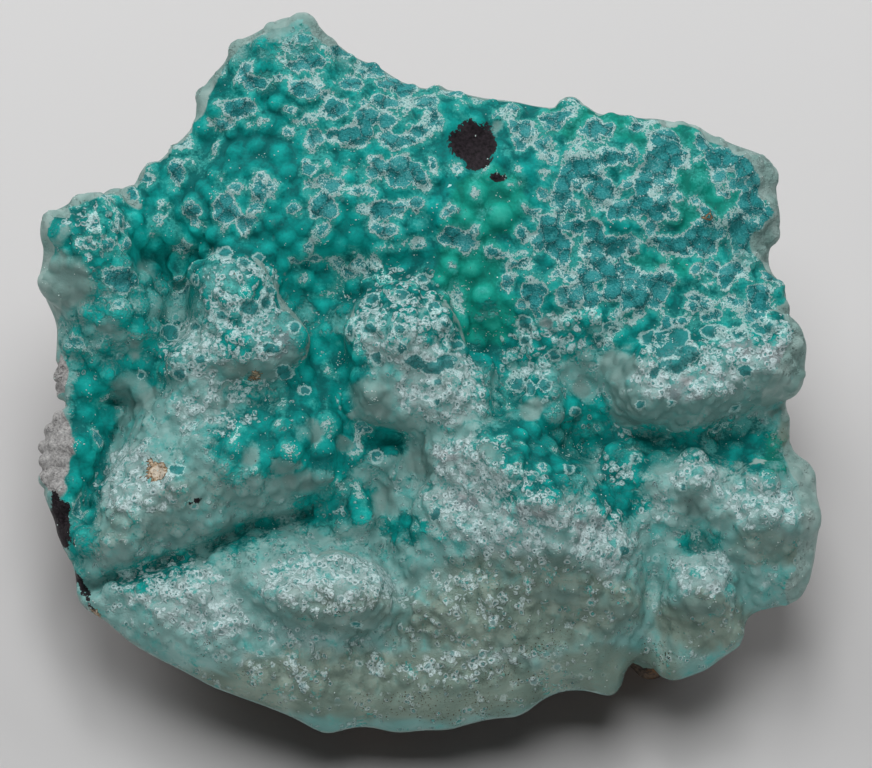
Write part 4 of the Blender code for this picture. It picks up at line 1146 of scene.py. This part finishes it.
    rough = scaled(tree, calc(tree, "MAXIMUM", sponge, teal), 0.28, 0.32)
    rough = scaled(tree, rock, 0.3, rough)
    rough = scaled(tree, fine, 0.2, rough, clamp=True)
    coarse = calc(tree, "MAXIMUM", calc(tree, "MAXIMUM", worn, times(tree, sponge, 0.5)), rock)
    coarse = times(tree, coarse, rest(tree, grey))
    relief = times(tree, edge["Height"], teal, notSponge, 0.9)
    relief = scaled(tree, laces[0]["Height"], 0.8, relief)
    relief = plus(tree, relief, times(tree, fine, scaled(tree, coarse, 1.3, 0.30)))
    relief = plus(tree, relief, times(tree, grit, scaled(tree, coarse, 0.5, 0.15)))
    links = {"Height": relief, "Distance": look["relief"] * mm, "Strength": 1.0}
    bump = addNode(tree, "ShaderNodeBump", links)
    for name, value in (("Base Color", colour), ("Roughness", rough), ("Normal", bump.outputs["Normal"])):
        tree.links.new(value, shader.inputs[name])
    shader.inputs["Specular IOR Level"].default_value = look["specular"]
    return material


stone.data.materials.append(makeCrustMaterial())
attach(stone, "root")
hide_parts("smithsonite")

# Drusy crystals that glint in the coat.
grainMake = {
    "seed": 11,
    "tries": 22000,
    "size": (0.05, 0.10),
    "lean": 0.25,
    "rise": 0.10,
    "clumpSize": 1.8,
    "clumped": (-0.35, 0.50),
    "offTeal": 0.25,
    "onWorn": 0.25,
    "wornEdge": (0.2, -0.2),
    "crustLeast": -0.6,
    "leastFacing": 0.2,
    "keepInside": 0.2,
}


def buildGrains(obj):
    make = grainMake
    draw = np.random.default_rng(make["seed"])
    corner = np.array([(x, y, z) for x in (-1, 1) for y in (-1, 1) for z in (-1, 1)], float)
    corner[:, :2] += corner[:, 2:] * make["lean"]
    sides = np.array([(0, 1, 3, 2), (4, 6, 7, 5), (0, 4, 5, 1), (2, 3, 7, 6), (0, 2, 6, 4), (1, 5, 7, 3)])
    spots = draw.uniform(cadBox[0], cadBox[1], (make["tries"], 3))
    draws = draw.random((make["tries"], 2))
    turns = draw.normal(size=(make["tries"], 2, 3))
    points, normals = nearestOn(treeOf(obj), spots)
    across, up, out = onFace(points)
    clumps = np.array([noise.noise(Vector(point) / (make["clumpSize"] * mm)) for point in points])
    coated = ease(*make["wornEdge"], wearAt(points, across, up))
    share = patchShare(zones["teal"], across, up) + make["offTeal"]
    share *= (crustDepth(up, out) < make["crustLeast"]) & (normals @ outFace > make["leastFacing"])
    share *= ease(*make["clumped"], clumps) * (make["onWorn"] + (1 - make["onWorn"]) * coated)
    low, high = np.array(cadBox[0]) + make["keepInside"] * mm, np.array(cadBox[1]) - make["keepInside"] * mm
    inside = np.all((points > low) & (points < high), axis=1)
    chosen = np.flatnonzero((draws[:, 0] < share) & inside)
    smallest, largest = make["size"]
    places, faces = [], []
    for i in chosen:
        size = (smallest + (largest - smallest) * draws[i, 1]) * mm / 2
        first = Vector(turns[i, 0]).normalized()
        second = first.cross(Vector(turns[i, 1])).normalized()
        axes = np.array([first, second, first.cross(second)])
        faces.append(sides + len(places) * 8)
        places.append(corner @ axes * size + points[i] + normals[i] * size * make["rise"])
    mesh = bpy.data.meshes.new("drusyGrains")
    mesh.from_pydata(np.concatenate(places).tolist(), [], np.concatenate(faces).tolist())
    grains = bpy.data.objects.new("drusyGrains", mesh)
    bpy.context.scene.collection.objects.link(grains)
    pick(grains)
    bpy.ops.object.mode_set(mode="EDIT")
    bpy.ops.mesh.select_all(action="SELECT")
    bpy.ops.mesh.normals_make_consistent(inside=False)
    bpy.ops.object.mode_set(mode="OBJECT")
    print("drusy grains:", len(chosen))
    return grains


def makeGrainMaterial():
    material, tree, shader = newMaterial("drusyCrystal")
    places = placeGroup(tree, "millimetres", Nudge=0.0)
    tint = noiseOf(tree, places["Plain"], 2.0, 1.0)
    colour = ramp(tree, tint, [(0.35, (0.45, 0.72, 0.68)), (0.6, (0.80, 0.88, 0.86))])
    tree.links.new(colour, shader.inputs["Base Color"])
    shader.inputs["Roughness"].default_value = 0.18
    return material


grains = buildGrains(stone)
grains.data.materials.append(makeGrainMaterial())
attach(grains, "root")

# The plain pale floor. Soft lights stand behind and to both sides, and a faint one fills from the front:
# each is width in metres, turn from the back, height angle in degrees, and power in watts.
studio = {
    "floorSize": 4.0,
    "floorColour": (0.78, 0.775, 0.775, 1.0),
    "airColour": (0.95, 0.97, 1.0, 1.0),
    "airStrength": 0.015,
    "lightDistance": 0.5,
    "lights": {
        "backLeftLight": (0.30, -45.0, 35.0, 0.82),
        "backRightLight": (0.30, 45.0, 35.0, 0.55),
        "topLight": (0.30, 0.0, 75.0, 0.96),
        "backLight": (0.12, 0.0, 55.0, 0.40),
        "frontFill": (0.30, 180.0, 45.0, 0.05),
    },
    # these only lift the shadows of the stone and leave the floor alone
    "fills": {
        "stoneFill": (0.40, 180.0, 40.0, 0.72),
    },
}


def buildStudio():
    bpy.ops.mesh.primitive_plane_add(size=studio["floorSize"])
    floor = bpy.context.active_object
    floor.name = "floor"
    material, _, shader = newMaterial("palePaper")
    shader.inputs["Base Color"].default_value = studio["floorColour"]
    shader.inputs["Roughness"].default_value = 0.9
    floor.data.materials.append(material)

    world = bpy.data.worlds.new("studioAir")
    bpy.context.scene.world = world
    world.use_nodes = True
    background = world.node_tree.nodes["Background"]
    background.inputs["Color"].default_value = studio["airColour"]
    background.inputs["Strength"].default_value = studio["airStrength"]

    receivers = bpy.data.collections.new("stoneAlone")
    receivers.objects.link(bpy.data.objects[stoneMake["name"]])
    for name, (width, turn, height, power) in {**studio["lights"], **studio["fills"]}.items():
        turn, height = math.radians(turn), math.radians(height)
        level = math.cos(height)
        way = Vector((math.sin(turn) * level, math.cos(turn) * level, math.sin(height)))
        bpy.ops.object.light_add(type="AREA", location=way * studio["lightDistance"])
        light = bpy.context.active_object
        light.name = name
        light.data.size = width
        light.data.energy = power
        light.rotation_euler = (-way).to_track_quat("-Z", "Y").to_euler()
        if name in studio["fills"]:
            light.light_linking.receiver_collection = receivers
    bpy.context.scene.view_settings.view_transform = "Standard"


buildStudio()

# The camera looks straight down on the leaning face.
view = {
    "target": (0.00073, -0.00232, 0.01942),
    "distance": 0.5,
    "height": math.radians(65.0),
    "pixelsAcross": 872,
    "pixelSize": 0.0913 * mm,
    "sensor": 36.0,
    "nearest": 0.01,
}


def buildCamera():
    back = Vector((0.0, -math.cos(view["height"]), math.sin(view["height"])))
    place = Vector(view["target"]) + back * view["distance"]
    bpy.ops.object.camera_add(location=place, rotation=(-back).to_track_quat("-Z", "Y").to_euler())
    camera = bpy.context.active_object
    camera.name = "photoView"
    camera.data.sensor_width = view["sensor"]
    camera.data.lens = view["sensor"] * view["distance"] / (view["pixelsAcross"] * view["pixelSize"])
    camera.data.clip_start = view["nearest"]
    bpy.context.scene.camera = camera


buildCamera()
print("studio and camera set")
